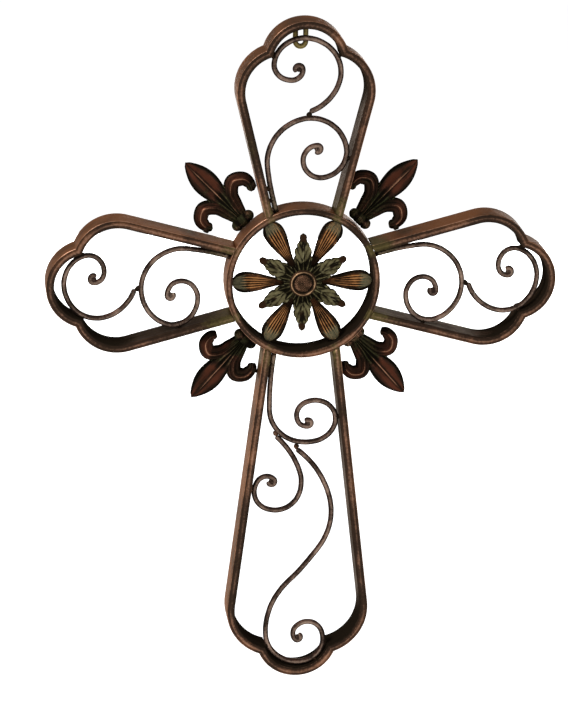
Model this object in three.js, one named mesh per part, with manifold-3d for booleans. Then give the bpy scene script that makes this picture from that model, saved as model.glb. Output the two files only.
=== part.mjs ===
// Wall cross of antiqued metal. A ring in the middle carries four open arm frames with trefoil ends,
// round-rod scrolls fill the arms, a fleur-de-lis stands in each corner and a flower sits in the ring.
// Millimetres. +X is right, +Z is up and the front faces -Y. The back edges lie on the wall plane, y = 0.
import * as THREE from "three";
import { mergeVertices } from "three/addons/utils/BufferGeometryUtils.js";
import Module from "manifold-3d";

const wasm = await Module();
wasm.setup();

// Overall sizes. The reaches run from the ring's centre to the outside of each end lobe.
const height = 787;
const width = 584;
const topReach = 303;
const sideReach = width / 2;
const bottomReach = height - topReach;
const depth = 34;
const gap = 0.3;
const mergeWithin = 1e-4;
const weldRoom = 0.6;

// Ring: a flat bar on edge, with softened front corners.
const ringRadius = 88.5;
const ringBar = 8;
const ringChamfer = 1.6;
const ringSegments = 48;

// Arm frames: a flat bar on edge. Each end has two shoulders, two cusps and a lobe.
const frameBar = 9.5;
const rootHalf = 39.5;
const lobeRadius = 48.3;
const arcSteps = 10;
const shortArm = { halfWidth: 78, shoulderDrop: 81, shoulderRadius: 51.3 };
const longArm = { halfWidth: 83.4, shoulderDrop: 84.5, shoulderRadius: 58.6 };

// Scroll rods. A route is a heading off the arm's axis and bends in turn, [radius, degrees], positive to
// the left. Its shape is fitted to the arm, and the named sides are widened until they touch the frame.
const rodDiameter = 6.5;
const rodSides = 6;
const rodSag = 0.6;
const rodSetBack = 9.2;
const eyeBend = [3.9, 225];
const innerRoute = {
  heading: 16,
  bends: [[324, -9], [50, -79], [42, -93], [29.5, -102], [20.3, -98], [16.4, -83]],
  eye: -1,
  touches: { left: true, right: true },
};
const outerRoute = {
  heading: -70,
  bends: [[50, 60], [40, 93], [31.5, 90], [18.5, 98], [11.5, 100]],
  eye: 1,
  touches: { left: true, right: true },
};
const longInnerRoute = {
  heading: -8.7,
  bends: [[406, 9.7], [43.1, 102], [27.4, 96], [22, 100], [17.2, 95], [10.2, 64]],
  eye: 1,
  touches: { left: true, right: true },
};
const longMiddleRoute = {
  heading: 48,
  bends: [[104, -28], [44.5, -36], [29.1, -99], [22.6, -102], [12.1, -100]],
  eye: -1,
  touches: { left: false, right: true },
};
const longOuterRoute = {
  heading: 53.6,
  bends: [[111, -39], [72, -51], [400, -8], [88.5, 48], [38, 102], [27.5, 102], [19, 105], [13, 81]],
  eye: 1,
  touches: { left: true, right: true },
};

// Where the scrolls stand: the inner one's crown as a share of the reach, how far the others start across
// the axis and along it from that crown, and how far the last crown stays off the lobe.
const innerCrown = 0.63;
const longInnerCrown = 0.4;
const outerStart = { across: 4, past: 7.2 };
const longMiddleStart = { across: 28.5, past: -8.4 };
const longOuterStart = { across: 3.6, past: 8.2 };
const longMiddleCrown = 0.572;
const lobeClearance = 8;
const longLobeClearance = 2;

// Fleur-de-lis: a cast ornament against the wall plane, measured outwards from the ring along its axis.
// A spear rises between two curls, tied by a collar. The curls reach the bars on both sides.
const fleurReach = 101;
const fleurThickness = 9;
const fleurEdge = 3;
const spear = { foot: 10, widest: 68, footHalf: 3, half: 14.6, taper: 0.9, stations: 9 };
const curlRoute = [[5, 10], [8, 24], [12, 38], [23, 47], [34, 41], [35.5, 31], [31, 25]];
const curl = { half: 8.8, endHalf: 4, crest: 8, stations: 11 };
const web = { from: 10, to: 53, fromHalf: 8, toHalf: 12.5, thickness: 5 };
const collar = { length: 30, radius: 6.5, standOff: 0.8, capSteps: 3, sides: 8 };
const stubWidth = 12;

// Flower in the ring: a petal rosette, a leaf rosette in front of it and a button on top.
const petalCount = 6;
const flowerBack = -20.5;
const hubSides = 24;
const petal = {
  half: 12.2,
  neck: 3.2,
  foot: 0.1,
  neckEnd: 0.22,
  widest: 0.82,
  tip: 0.995,
  edge: 2.4,
  crest: 4.6,
  hub: 20,
  stations: 9,
};
const leaf = {
  reach: 57.5,
  half: 10.5,
  edge: 2,
  crest: 4,
  hub: 17,
  foot: 0.12,
  bodyEnd: 0.92,
  fullness: 0.6,
  scallop: 0.16,
  scallops: 4,
  finger: 3.4,
  tipStart: 0.9,
  tip: 0.99,
  stations: 12,
};
const button = {
  radius: 15.5,
  rim: 3.2,
  shoulder: 2.4,
  groove: 2,
  dome: 9.5,
  domeTop: 6.6,
  height: 4,
  sides: 18,
};

// Hanger: a U-shaped strap behind the top lobe.
const hanger = { width: 17.5, drop: 28, strap: 5.9, thickness: 3, offset: -4, arcSteps: 6 };

const paint = (color) => new THREE.MeshStandardMaterial({ color, roughness: 0.5, metalness: 0.7 });
const finishes = {
  bar: paint(0x4a3a31),
  rod: paint(0x4b4038),
  fleur: paint(0x472c20),
  petal: paint(0x7a5230),
  leaf: paint(0x7b6a3c),
  button: paint(0x5d4a34),
  strap: paint(0x8a7a4a),
};

const { lerp, smoothstep, degToRad } = THREE.MathUtils;
const range = (count) => Array.from({ length: count }, (_, k) => k / (count - 1));
const group = new THREE.Group();

function add(name, geometry, material, turn = 0) {
  const mesh = new THREE.Mesh(geometry, material);
  mesh.name = name;
  mesh.rotation.y = turn;
  group.add(mesh);
}

// The same mesh with nothing but its corners.
function bare(geometry) {
  const corners = new THREE.BufferGeometry();
  corners.setAttribute("position", geometry.getAttribute("position"));
  corners.setIndex(geometry.getIndex());
  return corners;
}

// A closed mesh as a solid, with shared corners merged.
function solidOf(geometry) {
  const merged = mergeVertices(bare(geometry), mergeWithin);
  const vertProperties = new Float32Array(merged.getAttribute("position").array);
  const triVerts = new Uint32Array(merged.getIndex().array);
  return new wasm.Manifold(new wasm.Mesh({ numProp: 3, vertProperties, triVerts }));
}

function geometryOf(solid) {
  const mesh = solid.getMesh();
  const geometry = new THREE.BufferGeometry();
  geometry.setAttribute("position", new THREE.BufferAttribute(mesh.vertProperties, 3));
  geometry.setIndex(new THREE.BufferAttribute(mesh.triVerts, 1));
  return geometry;
}

// Several overlapping closed meshes joined into one.
const joined = (geometries) => geometryOf(geometries.map(solidOf).reduce((sum, next) => sum.add(next)));

// A flat outline drawn in X and Z, made solid between two depths.
function slab(shape, back, front, curveSegments = arcSteps) {
  const options = { depth: back - front, bevelEnabled: false, curveSegments };
  return new THREE.ExtrudeGeometry(shape, options).rotateX(Math.PI / 2).translate(0, back, 0);
}

// A skin over rings that hold equally many points each, closed by a flat fan at both ends.
function loft(rings) {
  const sides = rings[0].length;
  const centres = [rings[0], rings.at(-1)].map((ring) =>
    ring.reduce((sum, p) => sum.add(p), new THREE.Vector3()).divideScalar(sides),
  );
  const points = [...rings.flat(), ...centres];
  const first = points.length - 2;
  const last = (rings.length - 1) * sides;
  const faces = [];
  for (let side = 0; side < sides; side++) {
    const next = (side + 1) % sides;
    for (let k = 0; k + 1 < rings.length; k++) {
      const [a, b] = [k * sides + side, k * sides + next];
      faces.push(a, b, b + sides, a, b + sides, a + sides);
    }
    faces.push(first, next, side, first + 1, last + side, last + next);
  }
  const geometry = new THREE.BufferGeometry().setFromPoints(points);
  geometry.setIndex(faces);
  return facingOut(geometry);
}

// Turns every face round if the closed mesh is inside out.
function facingOut(geometry) {
  const place = geometry.getAttribute("position");
  const index = geometry.getIndex().array;
  const [a, b, c] = [0, 0, 0].map(() => new THREE.Vector3());
  let volume = 0;
  for (let i = 0; i < index.length; i += 3) {
    a.fromBufferAttribute(place, index[i]);
    b.fromBufferAttribute(place, index[i + 1]);
    c.fromBufferAttribute(place, index[i + 2]);
    volume += a.dot(b.cross(c));
  }
  if (volume < 0) geometry.setIndex([...index].reverse());
  return geometry;
}

// The far crossing of two circles, given as {x, z, r}, on the side of larger x.
function crossing(p, q) {
  const across = new THREE.Vector2(q.x - p.x, q.z - p.z);
  const apart = across.length();
  const along = (p.r * p.r - q.r * q.r + apart * apart) / (2 * apart);
  const off = Math.sqrt(p.r * p.r - along * along);
  across.divideScalar(apart);
  return new THREE.Vector2(
    p.x + across.x * along + across.y * off,
    p.z + across.y * along - across.x * off,
  );
}

// An arm's outline in its own frame: the ring's centre is at 0,0 and the arm runs along +Z.
function armLayout(reach, { halfWidth, shoulderDrop, shoulderRadius }) {
  const shoulder = { x: halfWidth - shoulderRadius, z: reach - shoulderDrop };
  const root = { x: rootHalf, z: Math.sqrt((ringRadius + gap) ** 2 - rootHalf ** 2) };
  const across = root.x - shoulder.x;
  const along = shoulder.z - root.z;
  const middle = shoulderRadius - frameBar / 2;
  const lean = Math.atan2(along, across) - Math.acos(middle / Math.hypot(across, along));
  return { reach, shoulder, shoulderRadius, lean, root };
}

// One side of the frame's outline at a distance in from its outside: the point on the ring, the end of
// the straight bar, both circles, their cusp and the angles where the arcs meet.
function frameEdge(arm, inset) {
  const shoulder = { ...arm.shoulder, r: arm.shoulderRadius - inset };
  const lobe = { x: 0, z: arm.reach - lobeRadius, r: lobeRadius - inset };
  const cusp = crossing(shoulder, lobe);
  const normal = { x: Math.cos(arm.lean), z: -Math.sin(arm.lean) };
  const touch = { x: shoulder.x + normal.x * shoulder.r, z: shoulder.z + normal.z * shoulder.r };
  const foot = touch.x * normal.x + touch.z * normal.z;
  const back = Math.sqrt((ringRadius + gap) ** 2 - foot ** 2);
  return {
    root: { x: foot * normal.x - back * normal.z, z: foot * normal.z + back * normal.x },
    touch,
    shoulder,
    lobe,
    shoulderEnd: Math.atan2(cusp.y - shoulder.z, cusp.x - shoulder.x),
    lobeStart: Math.atan2(cusp.y - lobe.z, cusp.x - lobe.x),
  };
}

function frameShape(arm) {
  const outer = frameEdge(arm, 0);
  const inner = frameEdge(arm, frameBar);
  const { shoulder, lobe } = outer;
  const { shoulder: hollow, lobe: crown } = inner;
  const shape = new THREE.Shape();
  shape.moveTo(inner.root.x, inner.root.z);
  shape.lineTo(outer.root.x, outer.root.z);
  shape.absarc(shoulder.x, shoulder.z, shoulder.r, -arm.lean, outer.shoulderEnd, false);
  shape.absarc(0, lobe.z, lobe.r, outer.lobeStart, Math.PI - outer.lobeStart, false);
  shape.absarc(-shoulder.x, shoulder.z, shoulder.r, Math.PI - outer.shoulderEnd, Math.PI + arm.lean, false);
  shape.lineTo(-outer.root.x, outer.root.z);
  shape.lineTo(-inner.root.x, inner.root.z);
  shape.absarc(-hollow.x, hollow.z, hollow.r, Math.PI + arm.lean, Math.PI - inner.shoulderEnd, true);
  shape.absarc(0, crown.z, crown.r, Math.PI - inner.lobeStart, inner.lobeStart, true);
  shape.absarc(hollow.x, hollow.z, hollow.r, inner.shoulderEnd, -arm.lean, true);
  return shape;
}

// The inner wall of a frame's right half, as points a millimetre or so apart.
function innerWall(arm) {
  const { root, touch, shoulder, lobe, shoulderEnd, lobeStart } = frameEdge(arm, frameBar);
  const path = new THREE.Path();
  path.moveTo(root.x, root.z);
  path.lineTo(touch.x, touch.z);
  path.absarc(shoulder.x, shoulder.z, shoulder.r, -arm.lean, shoulderEnd, false);
  path.absarc(0, lobe.z, lobe.r, lobeStart, Math.PI / 2, false);
  return path.getSpacedPoints(Math.round(arm.reach));
}

// The outer face of a frame's straight bar, seen from an axis that is turned away from the arm's own.
function barBeside(arm, away) {
  const { root, touch } = frameEdge(arm, 0);
  const axis = new THREE.Vector2();
  return range(Math.round(arm.reach)).map((t) =>
    new THREE.Vector2(-lerp(root.x, touch.x, t), lerp(root.z, touch.z, t)).rotateAround(axis, -away),
  );
}

// The factor by which discs on the right of an axis can be moved out before one comes to a wall.
function widening(discs, wall) {
  const factors = discs.flatMap(({ at, clear }) =>
    wall
      .filter((w) => Math.abs(w.y - at.y) < clear)
      .map((w) => (w.x - Math.sqrt(clear ** 2 - (w.y - at.y) ** 2)) / at.x),
  );
  return Math.min(...factors);
}

// A route's centreline, from bends of fixed radius, with points no further apart than the sag allows.
function bentRoute({ heading, bends, eye }) {
  const points = [new THREE.Vector2()];
  let angle = degToRad(90 + heading);
  for (const [radius, degrees] of [...bends, [eyeBend[0], eyeBend[1] * eye]]) {
    const side = Math.sign(degrees);
    const sweep = degToRad(degrees);
    const from = points.at(-1);
    const centre = new THREE.Vector2(-Math.sin(angle), Math.cos(angle))
      .multiplyScalar(radius * side)
      .add(from);
    const steps = Math.ceil(Math.abs(sweep) / (2 * Math.acos(1 - rodSag / radius)));
    for (let k = 1; k <= steps; k++) {
      points.push(from.clone().rotateAround(centre, (sweep * k) / steps));
    }
    angle += sweep;
  }
  return points;
}

// A route in its arm: it starts across the axis, is scaled to run between two distances from the ring's
// centre, and is then widened on each side that touches the frame.
function routed(arm, route, { across, from, to }) {
  const raw = bentRoute(route);
  const box = new THREE.Box2().setFromPoints(raw);
  const scale = (to - from) / (box.max.y - box.min.y);
  const placed = raw.map((p) => new THREE.Vector2(across + p.x * scale, from + (p.y - box.min.y) * scale));
  const wall = innerWall(arm);
  const clear = rodDiameter / 2 + weldRoom;
  const along = new THREE.Path(placed).getSpacedPoints(Math.round(arm.reach));
  const factor = (sign, touching) => {
    const discs = along.map((p) => ({ at: new THREE.Vector2(p.x * sign, p.y), clear }));
    return touching ? widening(discs.filter(({ at }) => at.x > clear), wall) : 1;
  };
  const right = factor(1, route.touches.right);
  const left = factor(-1, route.touches.left);
  return placed.map((p) => new THREE.Vector2(p.x * (p.x > 0 ? right : left), p.y));
}

// A round rod along a flat route, at the scrolls' depth. side is -1 for a mirrored rod.
function rod(route, side) {
  const section = Array.from({ length: rodSides }, (_, k) => ((k + 0.5) * 2 * Math.PI) / rodSides);
  const rings = route.map((at, k) => {
    const along = route[Math.min(k + 1, route.length - 1)].clone().sub(route[Math.max(k - 1, 0)]);
    const across = new THREE.Vector2(-along.y, along.x).normalize();
    return section.map((turn) => {
      const out = (Math.cos(turn) * rodDiameter) / 2;
      const y = rodSetBack - depth + (Math.sin(turn) * rodDiameter) / 2;
      return new THREE.Vector3(side * (at.x + across.x * out), y, at.y + across.y * out);
    });
  });
  return loft(rings);
}

// A rod with its root cut to the ring's outside.
function coped(geometry) {
  const cutter = new THREE.CylinderGeometry(ringRadius + gap, ringRadius + gap, 2 * depth, 2 * ringSegments);
  cutter.translate(0, -depth / 2, 0);
  return geometryOf(solidOf(geometry).subtract(solidOf(cutter)));
}

// The centre ring, turned about the Y axis.
function ringGeometry() {
  const inside = ringRadius - ringBar;
  const profile = [
    [inside, 0],
    [ringRadius, 0],
    [ringRadius, ringChamfer - depth],
    [ringRadius - ringChamfer, -depth],
    [inside + ringChamfer, -depth],
    [inside, ringChamfer - depth],
    [inside, 0],
  ].map(([x, y]) => new THREE.Vector2(x, y));
  return facingOut(mergeVertices(bare(new THREE.LatheGeometry(profile, ringSegments)), mergeWithin));
}

// A tapering cast blade along a flat route, flat behind and modelled in front. Each station gives its
// place, its half width, its edge and its crest, and the section gives shares of them across the front.
function blade(stations, back, section) {
  const rings = stations.map(({ at, half, edge, crest }, k) => {
    const along = stations[Math.min(k + 1, stations.length - 1)].at.clone();
    along.sub(stations[Math.max(k - 1, 0)].at).normalize();
    const point = (share, rise) =>
      new THREE.Vector3(at.x - along.y * half * share, back - rise, at.y + along.x * half * share);
    const front = section.map(([share, rise]) => point(share, edge + (crest - edge) * rise));
    return [point(-1, 0), point(1, 0), ...front];
  });
  return loft(rings);
}

const ridge = [[1, 0], [0.55, 0.5], [0, 1], [-0.55, 0.5], [-1, 0]];
const ribs = [[1, 0], [0.67, 0.75], [0.34, 0.35], [0, 1], [-0.34, 0.35], [-0.67, 0.75], [-1, 0]];

// The stations of a fleur's right curl. The spread moves them out across the axis.
function curlStations(spread) {
  const points = curlRoute.map(([x, z]) => new THREE.Vector2(x * spread, ringRadius + z));
  const route = new THREE.SplineCurve(points);
  return range(curl.stations).map((t) => ({
    at: route.getPoint(t),
    half: curl.endHalf + (curl.half - curl.endHalf) * Math.sin(Math.PI * t),
    edge: fleurEdge,
    crest: curl.crest,
  }));
}

function spearStations() {
  return range(spear.stations).map((t) => {
    const at = lerp(spear.foot, fleurReach, t);
    const past = Math.max(at - spear.widest, 0) / (fleurReach - spear.widest);
    const half = lerp(spear.footHalf, spear.half, smoothstep(at, spear.foot, spear.widest));
    const taper = 1 - spear.taper * past ** 2;
    const place = new THREE.Vector2(0, ringRadius + at);
    return { at: place, half: half * taper, edge: fleurEdge, crest: fleurThickness };
  });
}

// A fleur-de-lis that stands on the ring and points along +Z, between the bars of two arms.
function fleurGeometry(spread) {
  const mirrored = curlStations(spread).map((s) => ({ ...s, at: new THREE.Vector2(-s.at.x, s.at.y) }));
  const blades = [spearStations(), curlStations(spread), mirrored].map((s) => blade(s, 0, ridge));
  const plate = new THREE.Shape(
    [
      [-web.fromHalf, web.from],
      [web.fromHalf, web.from],
      [web.toHalf, web.to],
      [-web.toHalf, web.to],
    ].map(([x, z]) => new THREE.Vector2(x, ringRadius + z)),
  );
  const { length, radius, standOff, capSteps, sides } = collar;
  const knob = new THREE.CapsuleGeometry(radius, length - 2 * radius, capSteps, sides);
  knob.rotateZ(Math.PI / 2).translate(0, -radius, ringRadius + standOff + radius);
  const stub = new THREE.BoxGeometry(stubWidth, radius, radius);
  stub.translate(0, -radius, ringRadius + gap + radius / 2);
  return joined([...blades, slab(plate, 0, -web.thickness), knob, stub]);
}

// Copies of one blade round the Y axis, on a round hub.
function rosette(one, hub, back, thickness, firstTurn) {
  const plate = new THREE.CylinderGeometry(hub, hub, thickness, hubSides);
  plate.translate(0, back - thickness / 2, 0);
  const turned = Array.from({ length: petalCount }, (_, k) =>
    one.clone().rotateY(firstTurn + (k * 2 * Math.PI) / petalCount),
  );
  return joined([plate, ...turned]);
}

// A spoon-shaped petal that reaches the ring's inner wall.
function petalGeometry() {
  const reach = ringRadius - ringBar - gap;
  const { half, neck, neckEnd, widest, edge, crest } = petal;
  const stations = range(petal.stations).map((t) => {
    const share = Math.min(lerp(petal.foot, 1, t), petal.tip);
    const spread = lerp(neck, half, smoothstep(share, neckEnd, widest));
    const round = Math.sqrt(1 - (Math.max(share - widest, 0) / (1 - widest)) ** 2);
    return { at: new THREE.Vector2(0, share * reach), half: spread * round, edge, crest };
  });
  return blade(stations, flowerBack, ribs);
}

// An acanthus-like leaf: two pairs of shoulder lobes and a finger tip.
function leafGeometry(back) {
  const { reach, half, edge, crest, finger, scallop, tipStart } = leaf;
  const stations = range(leaf.stations).map((t) => {
    const share = Math.min(lerp(leaf.foot, 1, t), leaf.tip);
    const body = half * Math.sin(Math.PI * Math.min(share / leaf.bodyEnd, 1)) ** leaf.fullness;
    const lobes = 1 + scallop * Math.cos(share * leaf.scallops * 2 * Math.PI);
    const tip = finger * Math.sqrt(1 - Math.max(share - tipStart, 0) / (1 - tipStart));
    return { at: new THREE.Vector2(0, share * reach), half: Math.max(body * lobes, tip), edge, crest };
  });
  return blade(stations, back, ridge);
}

// The button on the flower: a dished disc with a raised rim and a domed middle.
function buttonGeometry(back) {
  const { radius, rim, dome, domeTop, shoulder, groove, height: rise } = button;
  const profile = [
    [0, 0],
    [radius, 0],
    [radius, -shoulder],
    [radius - rim / 2, -rise],
    [radius - rim, -shoulder],
    [dome, -groove],
    [domeTop, -rise],
    [0, -rise],
  ].map(([x, y]) => new THREE.Vector2(x, back + y));
  return facingOut(mergeVertices(bare(new THREE.LatheGeometry(profile, button.sides)), mergeWithin));
}

// The lobe's inner face over the hanger, as a height above the ring's centre.
function hangerCeiling(arm, across) {
  const { lobe } = frameEdge(arm, frameBar + gap);
  return lobe.z + Math.sqrt(lobe.r ** 2 - (across + hanger.offset) ** 2);
}

// The hanger: a strap bent to a U, its two ends on the lobe's inner face.
function hangerGeometry(arm) {
  const outside = hanger.width / 2;
  const slot = outside - hanger.strap;
  const turnAt = hangerCeiling(arm, 0) - hanger.drop + outside;
  const shape = new THREE.Shape();
  shape.moveTo(outside, hangerCeiling(arm, outside));
  shape.lineTo(slot, hangerCeiling(arm, slot));
  shape.absarc(0, turnAt, slot, 0, Math.PI, true);
  shape.lineTo(-slot, hangerCeiling(arm, -slot));
  shape.lineTo(-outside, hangerCeiling(arm, -outside));
  shape.absarc(0, turnAt, outside, Math.PI, 2 * Math.PI, false);
  return slab(shape, 0, -hanger.thickness, hanger.arcSteps).translate(hanger.offset, 0, 0);
}

// Where an inner scroll's root is: beside the bar, with its end inside the ring's outline.
function rootOf(arm, side) {
  const across = rootHalf - (frameBar + rodDiameter) / 2 - gap;
  return { across: side * across, from: Math.sqrt(ringRadius ** 2 - across ** 2) - rodDiameter / 2 };
}

// Where the last crown of an arm's scrolls is, below the lobe.
const crownUnder = (arm, clearance) => arm.reach - frameBar - rodDiameter / 2 - clearance;

function shortArmRods(arm) {
  const crown = innerCrown * arm.reach;
  const from = crown + outerStart.past;
  const outer = { across: outerStart.across, from, to: crownUnder(arm, lobeClearance) };
  return {
    inner: (side) => coped(rod(routed(arm, innerRoute, { ...rootOf(arm, -1), to: crown }), side)),
    outer: (side) => rod(routed(arm, outerRoute, outer), side),
  };
}

function longArmRods(arm) {
  const crown = longInnerCrown * arm.reach;
  const start = ({ across, past }) => ({ across, from: crown + past });
  const middle = { ...start(longMiddleStart), to: longMiddleCrown * arm.reach };
  const outer = { ...start(longOuterStart), to: crownUnder(arm, longLobeClearance) };
  return {
    inner: (side) => coped(rod(routed(arm, longInnerRoute, { ...rootOf(arm, 1), to: crown }), side)),
    middle: (side) => rod(routed(arm, longMiddleRoute, middle), side),
    outer: (side) => rod(routed(arm, longOuterRoute, outer), side),
  };
}

// The arms clockwise from the top, with the scrolls of the left one mirrored.
const arms = [
  { name: "top", layout: armLayout(topReach, shortArm), rods: shortArmRods, side: 1 },
  { name: "right", layout: armLayout(sideReach, shortArm), rods: shortArmRods, side: 1 },
  { name: "bottom", layout: armLayout(bottomReach, longArm), rods: longArmRods, side: 1 },
  { name: "left", layout: armLayout(sideReach, shortArm), rods: shortArmRods, side: -1 },
];
const corners = ["upper_right", "lower_right", "lower_left", "upper_left"];
const quarter = Math.PI / 2;

add("centre_ring", ringGeometry(), finishes.bar);
for (const [k, { name, layout, rods, side }] of arms.entries()) {
  add(`${name}_arm_frame`, slab(frameShape(layout), 0, -depth), finishes.bar, k * quarter);
  for (const [place, make] of Object.entries(rods(layout))) {
    add(`${name}_${place}_scroll`, make(side), finishes.rod, k * quarter);
  }
}

// Each fleur stands midway between the two bars beside it, so it leans to the arm that spreads less.
for (const [k, name] of corners.entries()) {
  const [before, after] = [arms[k].layout, arms[(k + 1) % arms.length].layout];
  const lean = (before.lean - after.lean) / 2;
  const discs = curlStations(1).map(({ at, half }) => ({ at, clear: half + gap }));
  const toBefore = widening(discs, barBeside(before, quarter / 2 + lean));
  const toAfter = widening(discs, barBeside(after, quarter / 2 - lean));
  const geometry = fleurGeometry(Math.min(toBefore, toAfter));
  add(`${name}_fleur`, geometry, finishes.fleur, (k + 0.5) * quarter + lean);
}

const leafBack = flowerBack - petal.crest - gap;
const buttonBack = leafBack - leaf.crest - gap;
const halfStep = Math.PI / petalCount;
add("petal_rosette", rosette(petalGeometry(), petal.hub, flowerBack, petal.crest, halfStep), finishes.petal);
add("leaf_rosette", rosette(leafGeometry(leafBack), leaf.hub, leafBack, leaf.crest, 0), finishes.leaf);
add("centre_button", buttonGeometry(buttonBack), finishes.button);
add("hanger", hangerGeometry(arms[0].layout), finishes.strap);

// The origin is on the hanger's back, in the middle of its lower bend.
const bendHeight = hangerCeiling(arms[0].layout, 0) - hanger.drop + hanger.strap / 2;
group.position.set(-hanger.offset, 0, -bendHeight);

export default group;
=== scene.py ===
# %% [markdown]
# # A wall cross of antiqued metal
#
# The real object is blacksmith's work: flat bars bent on edge, round rods rolled into scrolls, and a few
# cast ornaments, welded together, painted dark brown and rubbed with copper and olive paint. The packed
# model already holds every piece at its true place and size. This script makes each piece again with a
# fine surface, gives it an antique finish with painted highlights and painted shade, and sets up the camera
# and the lights.

import bpy
import numpy as np
from mathutils import Matrix, Vector


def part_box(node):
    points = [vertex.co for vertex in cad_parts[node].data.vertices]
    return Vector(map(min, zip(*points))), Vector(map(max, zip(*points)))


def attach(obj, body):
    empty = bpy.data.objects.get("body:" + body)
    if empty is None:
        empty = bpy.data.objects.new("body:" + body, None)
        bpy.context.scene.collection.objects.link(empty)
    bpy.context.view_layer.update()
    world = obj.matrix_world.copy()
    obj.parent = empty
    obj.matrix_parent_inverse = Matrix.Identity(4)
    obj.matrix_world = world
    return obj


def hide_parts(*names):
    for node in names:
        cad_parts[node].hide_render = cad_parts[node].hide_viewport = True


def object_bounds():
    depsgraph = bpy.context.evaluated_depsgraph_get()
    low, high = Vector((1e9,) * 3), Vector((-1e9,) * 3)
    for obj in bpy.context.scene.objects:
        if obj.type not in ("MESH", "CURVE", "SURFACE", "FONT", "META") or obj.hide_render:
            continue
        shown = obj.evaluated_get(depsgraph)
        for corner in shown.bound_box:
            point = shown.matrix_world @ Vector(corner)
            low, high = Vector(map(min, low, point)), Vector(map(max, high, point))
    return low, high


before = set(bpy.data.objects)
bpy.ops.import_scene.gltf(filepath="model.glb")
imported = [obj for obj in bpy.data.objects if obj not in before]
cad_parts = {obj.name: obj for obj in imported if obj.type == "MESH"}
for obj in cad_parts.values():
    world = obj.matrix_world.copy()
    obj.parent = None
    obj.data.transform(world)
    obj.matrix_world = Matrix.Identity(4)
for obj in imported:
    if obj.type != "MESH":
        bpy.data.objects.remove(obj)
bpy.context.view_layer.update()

# %% [markdown]
# ## Sizes
#
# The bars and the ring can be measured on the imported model, so their sizes are read from it and not typed
# again. Lengths are in millimetres from the ring's centre until a mesh is made.

# %% Read the main sizes from the model
MM = 0.001


def box_mm(node):
    """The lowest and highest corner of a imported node, in millimetres."""
    low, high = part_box(node)
    return np.array(low) / MM, np.array(high) / MM


ring_low, ring_high = box_mm("centre_ring")
CENTRE = (ring_low + ring_high) / 2
RING_RADIUS = (ring_high[0] - ring_low[0]) / 2
DEPTH = ring_high[1] - ring_low[1]
REACH = {
    "top": box_mm("top_arm_frame")[1][2] - CENTRE[2],
    "right": box_mm("right_arm_frame")[1][0] - CENTRE[0],
    "bottom": CENTRE[2] - box_mm("bottom_arm_frame")[0][2],
    "left": CENTRE[0] - box_mm("left_arm_frame")[0][0],
}
TURN = {"top": 0.0, "right": np.pi / 2, "bottom": np.pi, "left": -np.pi / 2}
GAP = 0.3
print("ring radius", RING_RADIUS, "reaches", {name: round(float(reach), 1) for name, reach in REACH.items()})

# %% [markdown]
# ## Camera
#
# The photograph looks from a little to the left and from well above, through a long lens: the outer faces
# of the left and upper bars show, and so do the inner faces of the right and lower ones. A camera is set
# by the point it looks at, the two angles to it and the distance. A small roll levels the arms.

# %% Set the camera
LOOK_AT = CENTRE + np.array([-18.64, 0.0, -99.95])
LOOK_FROM_LEFT = np.radians(7.0)
LOOK_FROM_ABOVE = np.radians(18.0)
ROLL = np.radians(0.924)
CAMERA_DISTANCE = 3500.0
FOCAL_PIXELS = 3042.0
FRAME_HEIGHT_PIXELS = 727
SENSOR_HEIGHT = 36.0

forward = Vector(
    (
        np.sin(LOOK_FROM_LEFT) * np.cos(LOOK_FROM_ABOVE),
        np.cos(LOOK_FROM_LEFT) * np.cos(LOOK_FROM_ABOVE),
        -np.sin(LOOK_FROM_ABOVE),
    )
)
level = Vector((np.cos(LOOK_FROM_LEFT), -np.sin(LOOK_FROM_LEFT), 0.0))
upright = level.cross(forward)
right = level * np.cos(ROLL) + upright * np.sin(ROLL)
up = upright * np.cos(ROLL) - level * np.sin(ROLL)
camera = bpy.data.objects.new("camera", bpy.data.cameras.new("camera"))
bpy.context.scene.collection.objects.link(camera)
camera.data.sensor_fit = "VERTICAL"
camera.data.sensor_height = SENSOR_HEIGHT
camera.data.lens = FOCAL_PIXELS * SENSOR_HEIGHT / FRAME_HEIGHT_PIXELS
camera.matrix_world = Matrix.Translation((Vector(LOOK_AT) - forward * CAMERA_DISTANCE) * MM) @ Matrix(
    (right, up, -forward)
).transposed().to_4x4()
bpy.context.scene.camera = camera
print("camera at", [round(v, 3) for v in camera.location], "lens", round(camera.data.lens, 1))

# %% [markdown]
# ## From a grid of points to a closed mesh
#
# Every piece here is a skin over rings of points: a section carried along a path. Blender could make such
# a skin with a curve and a bevel object, but a grid of points lets each vertex also carry marks that the
# paint needs: where the outer faces are warm, where a highlight is painted on the high places, where shade
# is painted in the hollows and where the olive patina gathered. Two more marks say how far along and how
# far around the piece a vertex lies, in millimetres, so that brush strokes can follow the bend of a bar. Each
# mark becomes an attribute of the mesh.

# %% Build a skin from rings of points
MARKS = ("warm", "painted_highlight", "hollow", "patina", "along", "around")


def marked(shape, warm=0.0, painted_highlight=0.0, hollow=0.0, patina=0.0, along=0.0, around=0.0):
    """The marks of a grid of points, each given as a number or as an array that fits the grid."""
    marks = (warm, painted_highlight, hollow, patina, along, around)
    return np.stack([np.broadcast_to(np.asarray(mark, float), shape) for mark in marks], -1)


def length_along(line):
    """How far each point of a line lies from its start: the running sum of the steps."""
    return np.concatenate([[0], np.cumsum(np.hypot(*np.diff(line, axis=0).T))])


def spin(points, turn, mirror=1):
    """Points of an arm or a corner, turned about the ring's centre and set in place. Turning by an angle
    takes x to x cos + z sin, and z to z cos - x sin. mirror -1 swaps left and right before the turn."""
    x, y, z = mirror * points[..., 0], points[..., 1], points[..., 2]
    turned = np.stack([x * np.cos(turn) + z * np.sin(turn), y, z * np.cos(turn) - x * np.sin(turn)], -1)
    return turned + np.array([CENTRE[0], 0.0, CENTRE[2]])


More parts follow.
